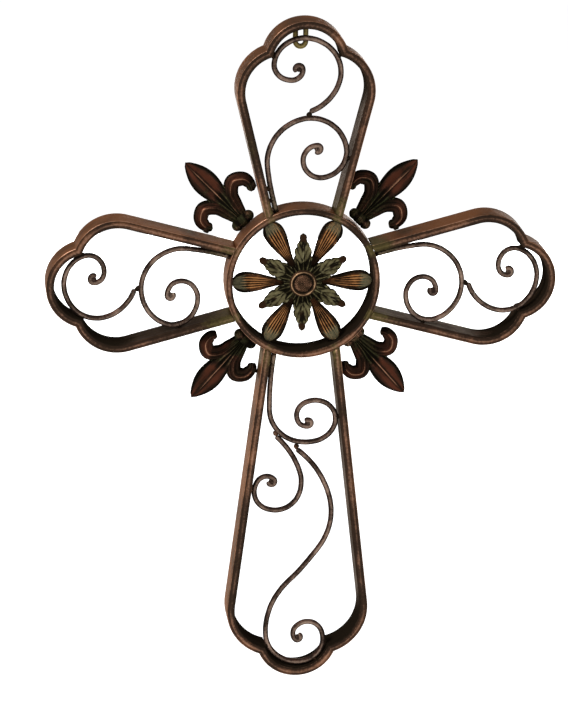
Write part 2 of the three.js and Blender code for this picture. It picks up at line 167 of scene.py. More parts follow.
def skin(rings, marks, loop=False):
    """A closed surface over rings, an array of (rings, points, 3): each point joins its neighbours in the
    ring and in the next ring. A loop joins the last ring to the first; otherwise each end ring is closed
    by a fan to its middle. Returns points, marks and triangles that face outwards."""
    count, around = rings.shape[:2]
    step = np.arange(count if loop else count - 1)[:, None] * around
    here = np.arange(around)[None, :]
    beside = (here + 1) % around
    onward = (step + around) % (count * around)
    a, b, c, d = step + here, step + beside, onward + beside, onward + here
    faces = np.concatenate([np.stack([a, b, c], -1), np.stack([a, c, d], -1)]).reshape(-1, 3)
    points = rings.reshape(-1, 3)
    tones = marks.reshape(-1, len(MARKS))
    if not loop:
        last = (count - 1) * around
        hub = count * around
        fans = [
            np.stack([np.full(around, hub), beside[0], here[0]], -1),
            np.stack([np.full(around, hub + 1), here[0] + last, beside[0] + last], -1),
        ]
        faces = np.concatenate([faces, *fans])
        points = np.concatenate([points, [rings[0].mean(0), rings[-1].mean(0)]])
        tones = np.concatenate([tones, [marks[0].mean(0), marks[-1].mean(0)]])
    corners = points[faces] - points.mean(0)
    volume = np.einsum("ij,ij->i", corners[:, 0], np.cross(corners[:, 1], corners[:, 2])).sum()
    return points, tones, faces if volume > 0 else faces[:, ::-1]


def turned_skin(shell, turn, mirror=1):
    """The same skin, turned and set in place. A mirrored one has its faces turned round too."""
    points, tones, faces = shell
    return spin(points, turn, mirror), tones, faces if mirror > 0 else faces[:, ::-1]


def make_piece(name, shells, nodes, material):
    """One object from several skins. It rides on the model's only body and stands for the named nodes."""
    offsets = np.cumsum([0] + [len(points) for points, _, _ in shells[:-1]])
    points = np.concatenate([points for points, _, _ in shells]) * MM
    tones = np.concatenate([tones for _, tones, _ in shells])
    faces = np.concatenate([faces + offset for (_, _, faces), offset in zip(shells, offsets)])
    mesh = bpy.data.meshes.new(name)
    mesh.from_pydata(points.tolist(), [], faces.tolist())
    mesh.polygons.foreach_set("use_smooth", np.ones(len(faces), bool))
    for k, mark in enumerate(MARKS):
        layer = mesh.attributes.new(mark, "FLOAT", "POINT")
        layer.data.foreach_set("value", tones[:, k].astype(np.float32))
    mesh.update()
    mesh.materials.append(material)
    piece = bpy.data.objects.new(name, mesh)
    bpy.context.scene.collection.objects.link(piece)
    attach(piece, "root")
    if nodes:
        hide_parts(*nodes)
    print(f"{name}: {len(faces)} triangles")
    return piece


# %% [markdown]
# ## The antique finish
#
# The finish here is a dark brown ground, a warm brown or copper brushed on along the piece, a highlight
# painted on edges, ridges and crests, shade painted in the hollows, on inner faces and behind, and an olive
# patina where parts meet. On the bars' front crests and the curls' bends the warm coat also stands for a
# painted highlight. One node group makes all of them from the marks of the mesh and three noises: a broad
# one for uneven brushing, a long thin one for the strokes, and a fine one for speckle. Each material gives
# it colours.

# %% Helpers for shader nodes
NODE_GAP = 220
COLOUR, NUMBER = "NodeSocketColor", "NodeSocketFloat"


def add_node(tree, kind, column, row=0, **settings):
    """A node at a column and row of the editor, with its settings."""
    node = tree.nodes.new(kind)
    node.location = (column * NODE_GAP, -row * NODE_GAP)
    for key, value in settings.items():
        setattr(node, key, value)
    return node


def maths(tree, operation, column, row, a, b):
    """A Math node whose inputs are sockets or numbers."""
    node = add_node(tree, "ShaderNodeMath", column, row, operation=operation)
    for socket, value in zip(node.inputs, (a, b)):
        if isinstance(value, bpy.types.NodeSocket):
            tree.links.new(value, socket)
        else:
            socket.default_value = value
    return node.outputs[0]


def blend_colours(tree, column, row, factor, a, b):
    """A Mix node for two colour sockets."""
    node = add_node(tree, "ShaderNodeMix", column, row, data_type="RGBA")
    tree.links.new(factor, node.inputs["Factor"])
    tree.links.new(a, node.inputs[6])
    tree.links.new(b, node.inputs[7])
    return node.outputs[2]


def span(tree, column, row, value, low, high):
    """A Map Range node that takes low to 0 and high to 1, smoothly."""
    node = add_node(tree, "ShaderNodeMapRange", column, row, interpolation_type="SMOOTHSTEP")
    tree.links.new(value, node.inputs["Value"])
    node.inputs["From Min"].default_value = low
    node.inputs["From Max"].default_value = high
    return node.outputs["Result"]


def noise(tree, column, row, place, size, detail, distortion=0.0):
    """A noise about zero, at a place, with its size from a socket or a number."""
    node = add_node(tree, "ShaderNodeTexNoise", column, row)
    tree.links.new(place, node.inputs["Vector"])
    if isinstance(size, bpy.types.NodeSocket):
        tree.links.new(size, node.inputs["Scale"])
    else:
        node.inputs["Scale"].default_value = size
    node.inputs["Detail"].default_value = detail
    node.inputs["Distortion"].default_value = distortion
    return maths(tree, "SUBTRACT", column + 1, row, node.outputs["Fac"], 0.5)


def swayed(tree, column, row, base, *pushes):
    """base plus each (noise, strength) in pushes."""
    for k, (push, strength) in enumerate(pushes):
        scaled = maths(tree, "MULTIPLY", column, row + k, push, strength)
        base = maths(tree, "ADD", column + 1, row + k, base, scaled)
    return base


# %% Build the shared paint group
STROKE_LENGTH = 55.0
STROKE_WIDTH = 1.3
PAINT_ROUGHNESS = 0.42
PAINT_METAL = 0.5
COATS = ("Ground", "Warm", "Highlight", "Shade", "Patina")
paint = bpy.data.node_groups.new("Antique paint", "ShaderNodeTree")
for coat in COATS:
    paint.interface.new_socket(coat, in_out="INPUT", socket_type=COLOUR)
for size in ("Broad size", "Fine size"):
    paint.interface.new_socket(size, in_out="INPUT", socket_type=NUMBER)
paint.interface.new_socket("Colour", in_out="OUTPUT", socket_type=COLOUR)
for result in ("Roughness", "Metallic", "Height"):
    paint.interface.new_socket(result, in_out="OUTPUT", socket_type=NUMBER)
given = add_node(paint, "NodeGroupInput", -2)
put_out = add_node(paint, "NodeGroupOutput", 14)
place = add_node(paint, "ShaderNodeTexCoord", -2, 3).outputs["Object"]
mark = {
    name: add_node(paint, "ShaderNodeAttribute", 0, 4 + k, attribute_name=name).outputs["Fac"]
    for k, name in enumerate(MARKS)
}

# The strokes follow the piece: a noise on the lengths along and around it, squeezed along.
flow = add_node(paint, "ShaderNodeCombineXYZ", 2, 9)
paint.links.new(maths(paint, "DIVIDE", 1, 9, mark["along"], STROKE_LENGTH), flow.inputs["X"])
paint.links.new(maths(paint, "DIVIDE", 1, 10, mark["around"], STROKE_WIDTH), flow.inputs["Y"])
stroke = noise(paint, 3, 9, flow.outputs["Vector"], 1.0, 3.0)
broad = noise(paint, 2, 0, place, given.outputs["Broad size"], 4.0, 0.4)
fine = noise(paint, 2, 1, place, given.outputs["Fine size"], 6.0)

warm_part = swayed(paint, 4, 2, mark["warm"], (broad, 2.2), (stroke, 0.9), (fine, 0.4))
warm_part = span(paint, 6, 2, warm_part, 0.1, 1.0)
colour = blend_colours(paint, 7, 0, warm_part, given.outputs["Ground"], given.outputs["Warm"])

patina_part = swayed(paint, 4, 5, mark["patina"], (broad, -1.8), (fine, 1.0))
patina_part = span(paint, 6, 5, patina_part, 0.25, 0.9)
colour = blend_colours(paint, 8, 0, patina_part, colour, given.outputs["Patina"])

# Painted shade: the colour is darkened towards the shade coat in hollows, on inner faces and behind the
# castings.
shade_part = swayed(paint, 4, 7, mark["hollow"], (broad, -1.3), (stroke, -0.7), (fine, -0.5))
shade_part = span(paint, 6, 7, shade_part, 0.15, 0.95)
colour = blend_colours(paint, 9, 0, shade_part, colour, given.outputs["Shade"])

# Painted highlight: the colour is lightened towards the highlight coat on edges, ridges and crests.
highlight_part = swayed(paint, 4, 11, mark["painted_highlight"], (broad, 1.1), (stroke, 0.5), (fine, 0.6))
highlight_part = span(paint, 6, 11, highlight_part, 0.25, 1.05)
colour = blend_colours(paint, 10, 0, highlight_part, colour, given.outputs["Highlight"])
paint.links.new(colour, put_out.inputs["Colour"])

rough = swayed(paint, 9, 3, PAINT_ROUGHNESS, (fine, 0.35), (highlight_part, -0.1), (shade_part, 0.16))
paint.links.new(rough, put_out.inputs["Roughness"])
# Where shade is painted the metal is taken away too, so pale surroundings do not veil the painted shade.
metal = swayed(paint, 9, 5, PAINT_METAL, (shade_part, -PAINT_METAL))
paint.links.new(metal, put_out.inputs["Metallic"])
height = swayed(paint, 9, 7, fine, (broad, 2.0), (stroke, 0.8))
paint.links.new(height, put_out.inputs["Height"])

# %% Make one material for each finish


def shader_colour(code):
    """A colour for a shader from a web colour: each channel is taken from sRGB to linear light."""
    channels = np.array([int(code[k : k + 2], 16) for k in (0, 2, 4)]) / 255
    linear = np.where(channels > 0.04045, ((channels + 0.055) / 1.055) ** 2.4, channels / 12.92)
    return (*linear.tolist(), 1.0)


PAINT_GLOSS = 0.0
EDGE_SHINE = "e9dccf"
PAINT_RELIEF = 0.3 * MM


def antiqued(name, colours, broad_size, fine_size, relief_strength):
    """A painted metal: the group gives colour, gloss and relief, and the shader stays out here. The sizes
    are scales of its noises, in waves per metre."""
    material = bpy.data.materials.new(f"{name}_paint")
    material.use_nodes = True
    tree = material.node_tree
    shader = tree.nodes["Principled BSDF"]
    shader.inputs["Specular IOR Level"].default_value = PAINT_GLOSS
    shader.inputs["Specular Tint"].default_value = shader_colour(EDGE_SHINE)
    coat = add_node(tree, "ShaderNodeGroup", -3)
    coat.node_tree = paint
    for socket, code in zip(COATS, colours):
        coat.inputs[socket].default_value = shader_colour(code)
    coat.inputs["Broad size"].default_value = broad_size
    coat.inputs["Fine size"].default_value = fine_size
    relief = add_node(tree, "ShaderNodeBump", -1, 1)
    relief.inputs["Strength"].default_value = relief_strength
    relief.inputs["Distance"].default_value = PAINT_RELIEF
    tree.links.new(coat.outputs["Height"], relief.inputs["Height"])
    tree.links.new(coat.outputs["Colour"], shader.inputs["Base Color"])
    tree.links.new(coat.outputs["Roughness"], shader.inputs["Roughness"])
    tree.links.new(coat.outputs["Metallic"], shader.inputs["Metallic"])
    tree.links.new(relief.outputs["Normal"], shader.inputs["Normal"])
    return material


# Each finish: ground, warm coat, painted highlight, painted shade and patina as web colours, then the broad
# and fine noise sizes and the relief strength.
finishes = {
    name: antiqued(name, *settings)
    for name, *settings in (
        ("bar", ("32251d", "73492e", "a27c66", "1b150f", "4e4529"), 18.0, 380.0, 0.5),
        ("rod", ("2b201b", "4a3229", "988272", "0f0c0a", "423b26"), 40.0, 420.0, 0.6),
        ("fleur", ("291c15", "4a291d", "a87c60", "0f0c08", "3d3d27"), 45.0, 520.0, 0.5),
        ("petal", ("2f2016", "633c23", "b07c4a", "110d08", "5c5843"), 60.0, 600.0, 0.5),
        ("leaf", ("332d1b", "5a543b", "878162", "120f0a", "2b1c12"), 130.0, 560.0, 0.6),
        ("sepal", ("262114", "454029", "7d7654", "0e0c07", "2b1c12"), 90.0, 560.0, 0.5),
        ("button", ("35261a", "5c4030", "b8926e", "130f0a", "433c26"), 80.0, 700.0, 0.5),
        ("strap", ("6b5c34", "8d7c48", "bfae7a", "2a2414", "6b6436"), 60.0, 420.0, 0.4),
    )
}
print("materials", list(finishes))

# %% [markdown]
# ## Bars bent on edge
#
# A bar has a rectangular section with corners that the rolling mill leaves slightly round. The section is
# carried between two outlines, the bar's inner and outer edge, so that a bend, a sharp cusp and the round
# ring all come from one function. The front is very slightly crowned, as a rolled bar is, so it
# shades from edge to edge, and its rounded corners catch the light as a thin line; a highlight is painted
# on the corners and the crest as well.

# %% Carry a rounded rectangle between two outlines
CORNER = 1.5
CORNER_STEPS = 4
SUPPORT = 0.35
CROWN = 0.8
FACE_STEPS = 6
FACE_LEAN = 0.25


def bar_section(width, depth, corner, crown):
    """The rounded rectangle, going once round from the middle of the back: four quarter circles and the
    faces between them. A point just inside each corner keeps the sides flat under smooth shading. The
    front rises by crown (1 - u^2) over its width, u from -1 to 1. Returns the points as (across, towards
    the front) from the middle, and the outward normal at each."""
    side, back, front = width / 2 - corner, corner - depth / 2, depth / 2 - corner - crown

    def rounded(x, y, quarter):
        """A quarter circle about (x, y), and its normals."""
        turn = np.pi / 2 * (quarter + np.linspace(0, 1, CORNER_STEPS + 1))[:, None]
        normals = np.concatenate([np.cos(turn), np.sin(turn)], -1)
        return np.array([x, y]) + corner * normals, normals

    back_right, front_right = rounded(side, back, 3), rounded(side, front, 0)
    front_left, back_left = rounded(-side, front, 1), rounded(-side, back, 2)
    support = np.array([0.0, SUPPORT])
    u = np.linspace(1, -1, FACE_STEPS + 2)[1:-1, None]
    parts = [
        (np.array([[0.0, -depth / 2]]), np.array([[0.0, -1.0]])),
        back_right,
        (back_right[0][-1:] + support, back_right[1][-1:]),
        (front_right[0][:1] - support, front_right[1][:1]),
        front_right,
        (np.concatenate([side * u, depth / 2 - crown * u**2], -1), np.concatenate([FACE_LEAN * u, u**0], -1)),
        front_left,
        (front_left[0][-1:] - support, front_left[1][-1:]),
        (back_left[0][:1] + support, back_left[1][:1]),
        back_left,
    ]
    points, normals = zip(*parts)
    return np.concatenate(points), np.concatenate(normals)


def bar_skin(inner, outer, depth, width, patina, inner_shade, corner=CORNER, crown=CROWN):
    """A bar between its inner and outer edge, each an array of (x, z). A section point that lies a share
    of the width across takes that share of the way from the inner edge to the outer one. patina says, for
    each step, how much olive lies on the bar, and the next array how deep the shade painted on its inner
    face is. The marks use the section's normals: the outer face is warm, a highlight is painted on the
    corners and on the crest of the front, where the warm coat is a painted highlight too, and shade is
    painted on the inner face and towards the front's edges."""
    section, normals = bar_section(width, depth, corner, crown)
    share = section[:, 0] / width + 0.5
    flat = inner[:, None, :] * (1 - share[:, None]) + outer[:, None, :] * share[:, None]
    y = np.broadcast_to(-depth / 2 - section[:, 1], flat.shape[:2])
    rings = np.stack([flat[..., 0], y, flat[..., 1]], -1)
    outside, front = normals[:, 0], normals[:, 1]
    edge = np.clip(1.5 - np.abs(np.abs(outside) - front) * 2.2, 0, 1) * (front > 0)
    face = (front > 0.9) * (1 - np.abs(section[:, 0]) / (width / 2)) ** 1.5
    # Painted highlight on the front's corners and crest, painted shade on the inner face and near the front's
    # edges.
    tones = marked(
        rings.shape[:2],
        warm=0.72 * np.clip(outside, 0, 1) + 0.3 * face,
        painted_highlight=0.75 * edge * (outside > 0) + 0.3 * edge * (outside < 0) + 0.55 * face,
        hollow=inner_shade[:, None] * np.clip(-outside * 1.2, 0, 1.0) + 0.4 * (front > 0.9) * (1 - face),
        patina=patina[:, None] * (1 - 0.2 * np.abs(outside)),
        along=length_along(outer)[:, None],
        around=length_along(section),
    )
    return rings, tones


# %% [markdown]
# ## The centre ring
#
# The ring is one bar rolled to a circle. A torus with a square section would give the same outline, but
# then the marks would have to be painted on afterwards, so it is made like the other bars. Olive patina
# gathers at its eight joints with the arms, two beside the axis of each arm.

# %% Make the centre ring
RING_BAR = 8.0
RING_STEPS = 240
ROOT_HALF = 39.5
WELD_PATINA = 0.9
RING_PATINA_ANGLE = 0.09


def bump(x, middle, width):
    """A bell of height 1: exp of minus ((x - middle) / width) squared."""
    return np.exp(-(((x - middle) / width) ** 2))


angle = np.linspace(0, 2 * np.pi, RING_STEPS, endpoint=False)[:, None]
circle = np.concatenate([np.sin(angle), np.cos(angle)], -1)
joint = np.arcsin(ROOT_HALF / RING_RADIUS)
quarter_turn = (angle[:, 0] + np.pi / 4) % (np.pi / 2) - np.pi / 4
patina = WELD_PATINA * bump(np.abs(quarter_turn), joint, RING_PATINA_ANGLE)
edges = circle * (RING_RADIUS - RING_BAR), circle * RING_RADIUS
# The ring's inner face carries the full painted shade all round.
ring = bar_skin(*edges, DEPTH, RING_BAR, patina, np.ones(RING_STEPS))
shell = turned_skin(skin(*ring, loop=True), 0.0)
make_piece("centre_ring_bar", [shell], ["centre_ring"], finishes["bar"])

# %% [markdown]
# ## The arm frames
#
# Each frame leaves the ring as two straight bars that lean apart, goes round a shoulder on each side and
# ends in a lobe. Shoulder and lobe are arcs of circles that meet in a sharp cusp, so the outline is found
# by crossing two circles. The inner edge is the same outline with smaller circles. A drawn curve would be
# quicker, but it would not keep the bar's width in the cusp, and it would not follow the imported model.

# %% Work out a frame's outline
FRAME_BAR = 9.5
LOBE_RADIUS = 48.3
SHORT_ARM = {"half_width": 78.0, "shoulder_drop": 81.0, "shoulder_radius": 51.3}
LONG_ARM = {"half_width": 83.4, "shoulder_drop": 84.5, "shoulder_radius": 58.6}
ARC_STEPS = 40


def polar(centre, radius, start, end, steps=ARC_STEPS):
    """Points on an arc: centre + radius (cos, sin)."""
    turn = np.linspace(start, end, steps + 1)[:, None]
    return np.array(centre) + radius * np.concatenate([np.cos(turn), np.sin(turn)], -1)


def arm_layout(name):
    """The shoulder's centre and the straight bar's root and lean. The bar's middle line leaves the ring at
    the root and touches the shoulder's middle circle, which gives its lean."""
    arm = dict(LONG_ARM if name == "bottom" else SHORT_ARM, reach=REACH[name])
    shoulder_across = arm["half_width"] - arm["shoulder_radius"]
    arm["shoulder"] = np.array([shoulder_across, arm["reach"] - arm["shoulder_drop"]])
    arm["root"] = np.array([ROOT_HALF, np.sqrt((RING_RADIUS + GAP) ** 2 - ROOT_HALF**2)])
    across, along = arm["root"][0] - arm["shoulder"][0], arm["shoulder"][1] - arm["root"][1]
    middle = arm["shoulder_radius"] - FRAME_BAR / 2
    arm["lean"] = np.arctan2(along, across) - np.arccos(middle / np.hypot(across, along))
    return arm


def frame_edge(arm, inset, steps=ARC_STEPS):
    """One side of the outline, from the ring to the top of the lobe, a distance in from the outside.
    The cusp is the far crossing of the shoulder's and the lobe's circles."""
    shoulder, lobe = arm["shoulder"], np.array([0.0, arm["reach"] - LOBE_RADIUS])
    r, s = arm["shoulder_radius"] - inset, LOBE_RADIUS - inset
    apart = np.hypot(*(lobe - shoulder))
    way = (lobe - shoulder) / apart
    along = (r**2 - s**2 + apart**2) / (2 * apart)
    cusp = shoulder + way * along + np.array([way[1], -way[0]]) * np.sqrt(r**2 - along**2)
    normal = np.array([np.cos(arm["lean"]), -np.sin(arm["lean"])])
    touch = shoulder + normal * r
    foot = touch @ normal
    tangent = np.array([-normal[1], normal[0]])
    root = foot * normal + tangent * np.sqrt((RING_RADIUS + GAP) ** 2 - foot**2)
    shoulder_end = np.arctan2(*(cusp - shoulder)[::-1])
    lobe_start = np.arctan2(*(cusp - lobe)[::-1])
    straight = root + (touch - root) * np.linspace(0, 1, steps, endpoint=False)[:, None]
    bend = polar(shoulder, r, -arm["lean"], shoulder_end, steps)
    crown = polar(lobe, s, lobe_start, np.pi / 2, steps)
    return np.concatenate([straight, bend, crown[1:]])


def whole_outline(arm, inset):
    """Both sides of the outline: the right side from the ring up, then its mirror image down again."""
    side = frame_edge(arm, inset)
    return np.concatenate([side, (side * [-1, 1])[-2::-1]])


# %% Make the four arm frames
FRAME_PATINA_LENGTH = 30.0
STRAIGHT_SHADE = 0.35
SHADE_BEFORE_SHOULDER, SHADE_PAST_SHOULDER = 15.0, 30.0
layouts = {name: arm_layout(name) for name in REACH}
for name, arm in layouts.items():
    edges = whole_outline(arm, FRAME_BAR), whole_outline(arm, 0.0)
    from_start = length_along(edges[1])
    from_ring = np.minimum(from_start, from_start[-1] - from_start)
    patina = WELD_PATINA * bump(from_ring, 0, FRAME_PATINA_LENGTH)
    # The shade painted on the inner face is lighter along the straight bars and full from the shoulder on.
    shoulder_at = from_ring[ARC_STEPS]
    fade = [shoulder_at - SHADE_BEFORE_SHOULDER, shoulder_at + SHADE_PAST_SHOULDER]
    inner_shade = np.interp(from_ring, fade, [STRAIGHT_SHADE, 1.0])
    shell = turned_skin(skin(*bar_skin(*edges, DEPTH, FRAME_BAR, patina, inner_shade)), TURN[name])
    make_piece(f"{name}_arm_bar", [shell], [f"{name}_arm_frame"], finishes["bar"])

# %% [markdown]
# ## The scrolls
#
# A smith rolls a scroll by bending a rod tighter and tighter, so its middle line is a chain of arcs. Each
# route is a heading and a list of bends, a radius and an angle each, positive to the left. The chain is
# scaled to its arm and widened on the sides where the real rod is welded to the bars. A spiral formula
# would be shorter, but these scrolls turn both ways and end in an eye, which arcs show plainly.

# %% Chain the bends of a scroll
ROD = 6.5
ROD_LEVEL = 9.2 - DEPTH
ROD_STEP = 1.6
EYE = (3.9, 225)
EYE_STEPS = 15
HALF_TURN_STEPS = EYE_STEPS * 180 // EYE[1]
WELD_ROOM = 0.6


def bent_route(heading, bends, eye):
    """The middle line of a rod. Each arc starts where the last one ended: the centre of its circle lies a
    radius to the side, and the points turn about it."""
    place, angle = np.zeros(2), np.radians(90 + heading)
    line = [place[None]]
    for radius, degrees in [*bends, (EYE[0], EYE[1] * eye)]:
        sweep = np.radians(degrees)
        side = np.sign(degrees)
        centre = place + radius * side * np.array([-np.sin(angle), np.cos(angle)])
        steps = max(int(abs(sweep) * radius / ROD_STEP), EYE_STEPS)
        start = angle - side * np.pi / 2
        arc = polar(centre, radius, start, start + sweep, steps)
        line.append(arc[1:])
        place, angle = arc[-1], angle + sweep
    return np.concatenate(line)


def widening(points, clear, wall):
    """How far points right of the axis can move out, as a factor, before one comes within its clearance
    of a wall: for each wall point at nearly the same height, (wall x - sqrt(clear^2 - dz^2)) / x. Also
    gives the point that touches first."""
    apart = wall[None, :, 1] - points[:, None, 1]
    clear = np.broadcast_to(clear, len(points))[:, None]
    inside = np.abs(apart) < clear
    reach = wall[None, :, 0] - np.sqrt(np.where(inside, clear**2 - apart**2, 0))
    factor = np.where(inside, reach / points[:, None, 0], np.inf)
    first = np.unravel_index(factor.argmin(), factor.shape)
    return factor[first], (points[first[0]] * [factor[first], 1] + wall[first[1]]) / 2


def resampled(line, step):
    """The same line with its points evenly a step apart."""
    length = length_along(line)
    at = np.linspace(0, length[-1], int(length[-1] / step))
    return np.stack([np.interp(at, length, line[:, k]) for k in (0, 1)], -1)


def fitted_route(arm, route, across, start, end, touches):
    """A route in its arm: it starts across the axis, is scaled to lie between start and end along the
    arm, and is widened on the sides in touches. Returns the line and the points that touch the frame."""
    raw = bent_route(*route)
    scale = (end - start) / np.ptp(raw[:, 1])
    line = np.array([across, start - raw[:, 1].min() * scale]) + raw * scale
    wall = resampled(frame_edge(arm, FRAME_BAR), 1.0)
    clear = ROD / 2 + WELD_ROOM
    contacts = []
    for side in touches:
        mirrored = line * [side, 1]
        outer = mirrored[mirrored[:, 0] > clear]
        factor, contact = widening(outer, clear, wall)
        contacts.append(contact * [side, 1])
        line = np.where((line[:, :1] * side) > 0, line * [factor, 1], line)
    return line, contacts


# %% Carry a round, slightly hammered section along a route
ROD_SIDES = 16
HAMMER = 0.09
HAMMER_LENGTHS = (3.1, 7.3)
ROD_PATINA = 0.8
ROD_PATINA_LENGTH = 25.0
END_SHARE = 0.02


def rod_skin(line, rooted):
    """A rod along a line of (x, z): circles across the line, a little out of round as if hammered, and
    shrinking over the last half diameter so that both ends are rounded. The dents are a product of two
    sines that run round and along the rod. A rooted rod starts at the ring, where the patina lies."""
    length = length_along(line)
    run = np.gradient(line, axis=0)
    run /= np.hypot(*run.T)[:, None]
    normal = np.stack([-run[:, 1], run[:, 0]], -1)
    to_end = np.minimum(length, length[-1] - length) / (ROD / 2)
    cap = np.sqrt(np.clip(1 - (1 - np.clip(to_end, 0, 1)) ** 2, END_SHARE, 1))
    turn = np.linspace(0, 2 * np.pi, ROD_SIDES, endpoint=False)
    short, long = (length[:, None] / wave for wave in HAMMER_LENGTHS)
    dents = np.sin(short + 2 * turn) * np.sin(long - turn)
    radius = (ROD / 2 - HAMMER) * cap[:, None] + HAMMER * dents * cap[:, None]
    out = radius * np.cos(turn)
    x = line[:, :1] + normal[:, :1] * out
    z = line[:, 1:] + normal[:, 1:] * out
    y = ROD_LEVEL + radius * np.sin(turn)
    rings = np.stack([x, y, z], -1)
    # A highlight is painted along the crest that faces the front, and shade is painted round the rest of the
    # rod.
    crest = np.clip(-np.sin(turn) * 1.6 - 0.75, 0, 1)
    tones = marked(
        radius.shape,
        warm=0.35 + 0.2 * dents,
        painted_highlight=0.75 * crest**1.5,
        hollow=0.5 - 0.5 * crest,
        patina=ROD_PATINA * bump(length[:, None], 0, ROD_PATINA_LENGTH) * rooted,
        along=length[:, None],
        around=ROD / 2 * turn,
    )
    return rings, tones


BALL_RINGS, BALL_SIDES = 12, 16
BALL_POLE = 0.12


def ball_skin(place, radius, depth, lumps, tones):
    """A ball at (x, y, z), in rings about the Y axis from pole to pole. It may be lumpy, its radius rising
    and falling by the product of two sines, and its depth from front to back may differ."""
    rise = np.linspace(BALL_POLE, np.pi - BALL_POLE, BALL_RINGS)[:, None]
    turn = np.linspace(0, 2 * np.pi, BALL_SIDES, endpoint=False)[None, :]
    size = 1 + lumps * np.sin(3 * turn + place[0]) * np.sin(2 * rise + place[2])
    x = place[0] + radius * size * np.sin(rise) * np.cos(turn)
    z = place[2] + radius * size * np.sin(rise) * np.sin(turn)
    y = place[1] + depth * size * np.cos(rise)
    rings = np.stack([x, y, z], -1)
    return skin(rings, marked(x.shape, **tones))


# %% Place the nine scrolls
EYE_BALL = 3.5
# The eye's ball gets a little painted highlight and a little painted shade.
EYE_TONES = {"painted_highlight": 0.3, "hollow": 0.2}
INNER = (16, [(324, -9), (50, -79), (42, -93), (29.5, -102), (20.3, -98), (16.4, -83)], -1)
OUTER = (-70, [(50, 60), (40, 93), (31.5, 90), (18.5, 98), (11.5, 100)], 1)
LONG_INNER = (-8.7, [(406, 9.7), (43.1, 102), (27.4, 96), (22, 100), (17.2, 95), (10.2, 64)], 1)
LONG_MIDDLE = (48, [(104, -28), (44.5, -36), (29.1, -99), (22.6, -102), (12.1, -100)], -1)
LONG_OUTER = (
    53.6,
    [(111, -39), (72, -51), (400, -8), (88.5, 48), (38, 102), (27.5, 102), (19, 105), (13, 81)],
    1,
)
BOTH, RIGHT = (1, -1), (1,)
OUTER_START = {"across": 4.0, "past": 7.2}
LONG_MIDDLE_START = {"across": 28.5, "before": 8.4}
LONG_OUTER_START = {"across": 3.6, "past": 8.2}
SHORT_SHARE, LONG_SHARE, LONG_MIDDLE_SHARE = 0.63, 0.4, 0.572
SHORT_CLEARANCE, LONG_CLEARANCE = 8.0, 2.0
ROOT_ACROSS = ROOT_HALF - (FRAME_BAR + ROD) / 2 - GAP
ROOT_START = np.sqrt((RING_RADIUS + GAP) ** 2 - (ROOT_ACROSS - ROD / 2) ** 2)


def crown_under(arm, clearance):
    """Where the middle of a rod is that stays a clearance below the lobe."""
    return arm["reach"] - FRAME_BAR - ROD / 2 - clearance


def short_arm_routes(arm):
    """The two scrolls of a short arm: the route, where it starts across and along the arm, where it ends
    along it, and the sides on which it touches the frame."""
    crown = SHORT_SHARE * arm["reach"]
    across, start = OUTER_START["across"], crown + OUTER_START["past"]
    return {
        "inner": (INNER, -ROOT_ACROSS, ROOT_START, crown, BOTH),
        "outer": (OUTER, across, start, crown_under(arm, SHORT_CLEARANCE), BOTH),
    }


def long_arm_routes(arm):
    """The three scrolls of the long arm, in the same form."""
    crown = LONG_SHARE * arm["reach"]
    middle_start = crown - LONG_MIDDLE_START["before"]
    middle_end = LONG_MIDDLE_SHARE * arm["reach"]
    across, start = LONG_OUTER_START["across"], crown + LONG_OUTER_START["past"]
    return {
        "inner": (LONG_INNER, ROOT_ACROSS, ROOT_START, crown, BOTH),
        "middle": (LONG_MIDDLE, LONG_MIDDLE_START["across"], middle_start, middle_end, RIGHT),
        "outer": (LONG_OUTER, across, start, crown_under(arm, LONG_CLEARANCE), BOTH),
    }


weld_spots = []
ROOT_WELD_STEP = 16
for name, arm in layouts.items():
    routes = long_arm_routes(arm) if name == "bottom" else short_arm_routes(arm)
    mirror = -1 if name == "left" else 1
    for kind, (route, across, start, end, touches) in routes.items():
        line, contacts = fitted_route(arm, route, across, start, end, touches)
        eye = (line[-1] + line[-1 - HALF_TURN_STEPS]) / 2
        rod = skin(*rod_skin(line, rooted=kind == "inner"))
        ball = ball_skin((eye[0], ROD_LEVEL, eye[1]), EYE_BALL, EYE_BALL, 0, EYE_TONES)
        shells = [turned_skin(shell, TURN[name], mirror) for shell in (rod, ball)]
        make_piece(f"{name}_{kind}_rod", shells, [f"{name}_{kind}_scroll"], finishes["rod"])
        spots = [line[0] - [0, ROD / 2], *contacts]
        if kind == "inner":
            spots = [line[0], line[ROOT_WELD_STEP] + [np.sign(across) * ROD / 2, 0], *contacts]
        weld_spots += [((spot[0], ROD_LEVEL, spot[1]), TURN[name], mirror) for spot in spots]

# %% [markdown]
# ## Cast blades
#
# The fleurs, petals and leaves are castings: flat behind, modelled in front. Such a blade is a height over
# a middle line and a share of the half width, from -1 at one edge to 1 at the other. The height function
# makes the ribs and grooves, and the same function says where highlight and shade are painted on them.

# %% Model a blade from a height function
BLADE_SIDES = 33
FRONT_SHARE = 0.985
# The section behind the front, from one edge to the other: shares of the half width, and how far each
# point lies in front of the back, as a share of the height at its edge.
BEHIND_SHARES = np.array([1.0, 1.0, 0.9, 0.0, -0.9, -1.0, -1.0])
BEHIND_RISES = np.array([0.75, 0.08, 0.0, 0.0, 0.0, 0.08, 0.75])
# The sides and the back behind the front are painted in shade.
BEHIND_SHADE = 0.7


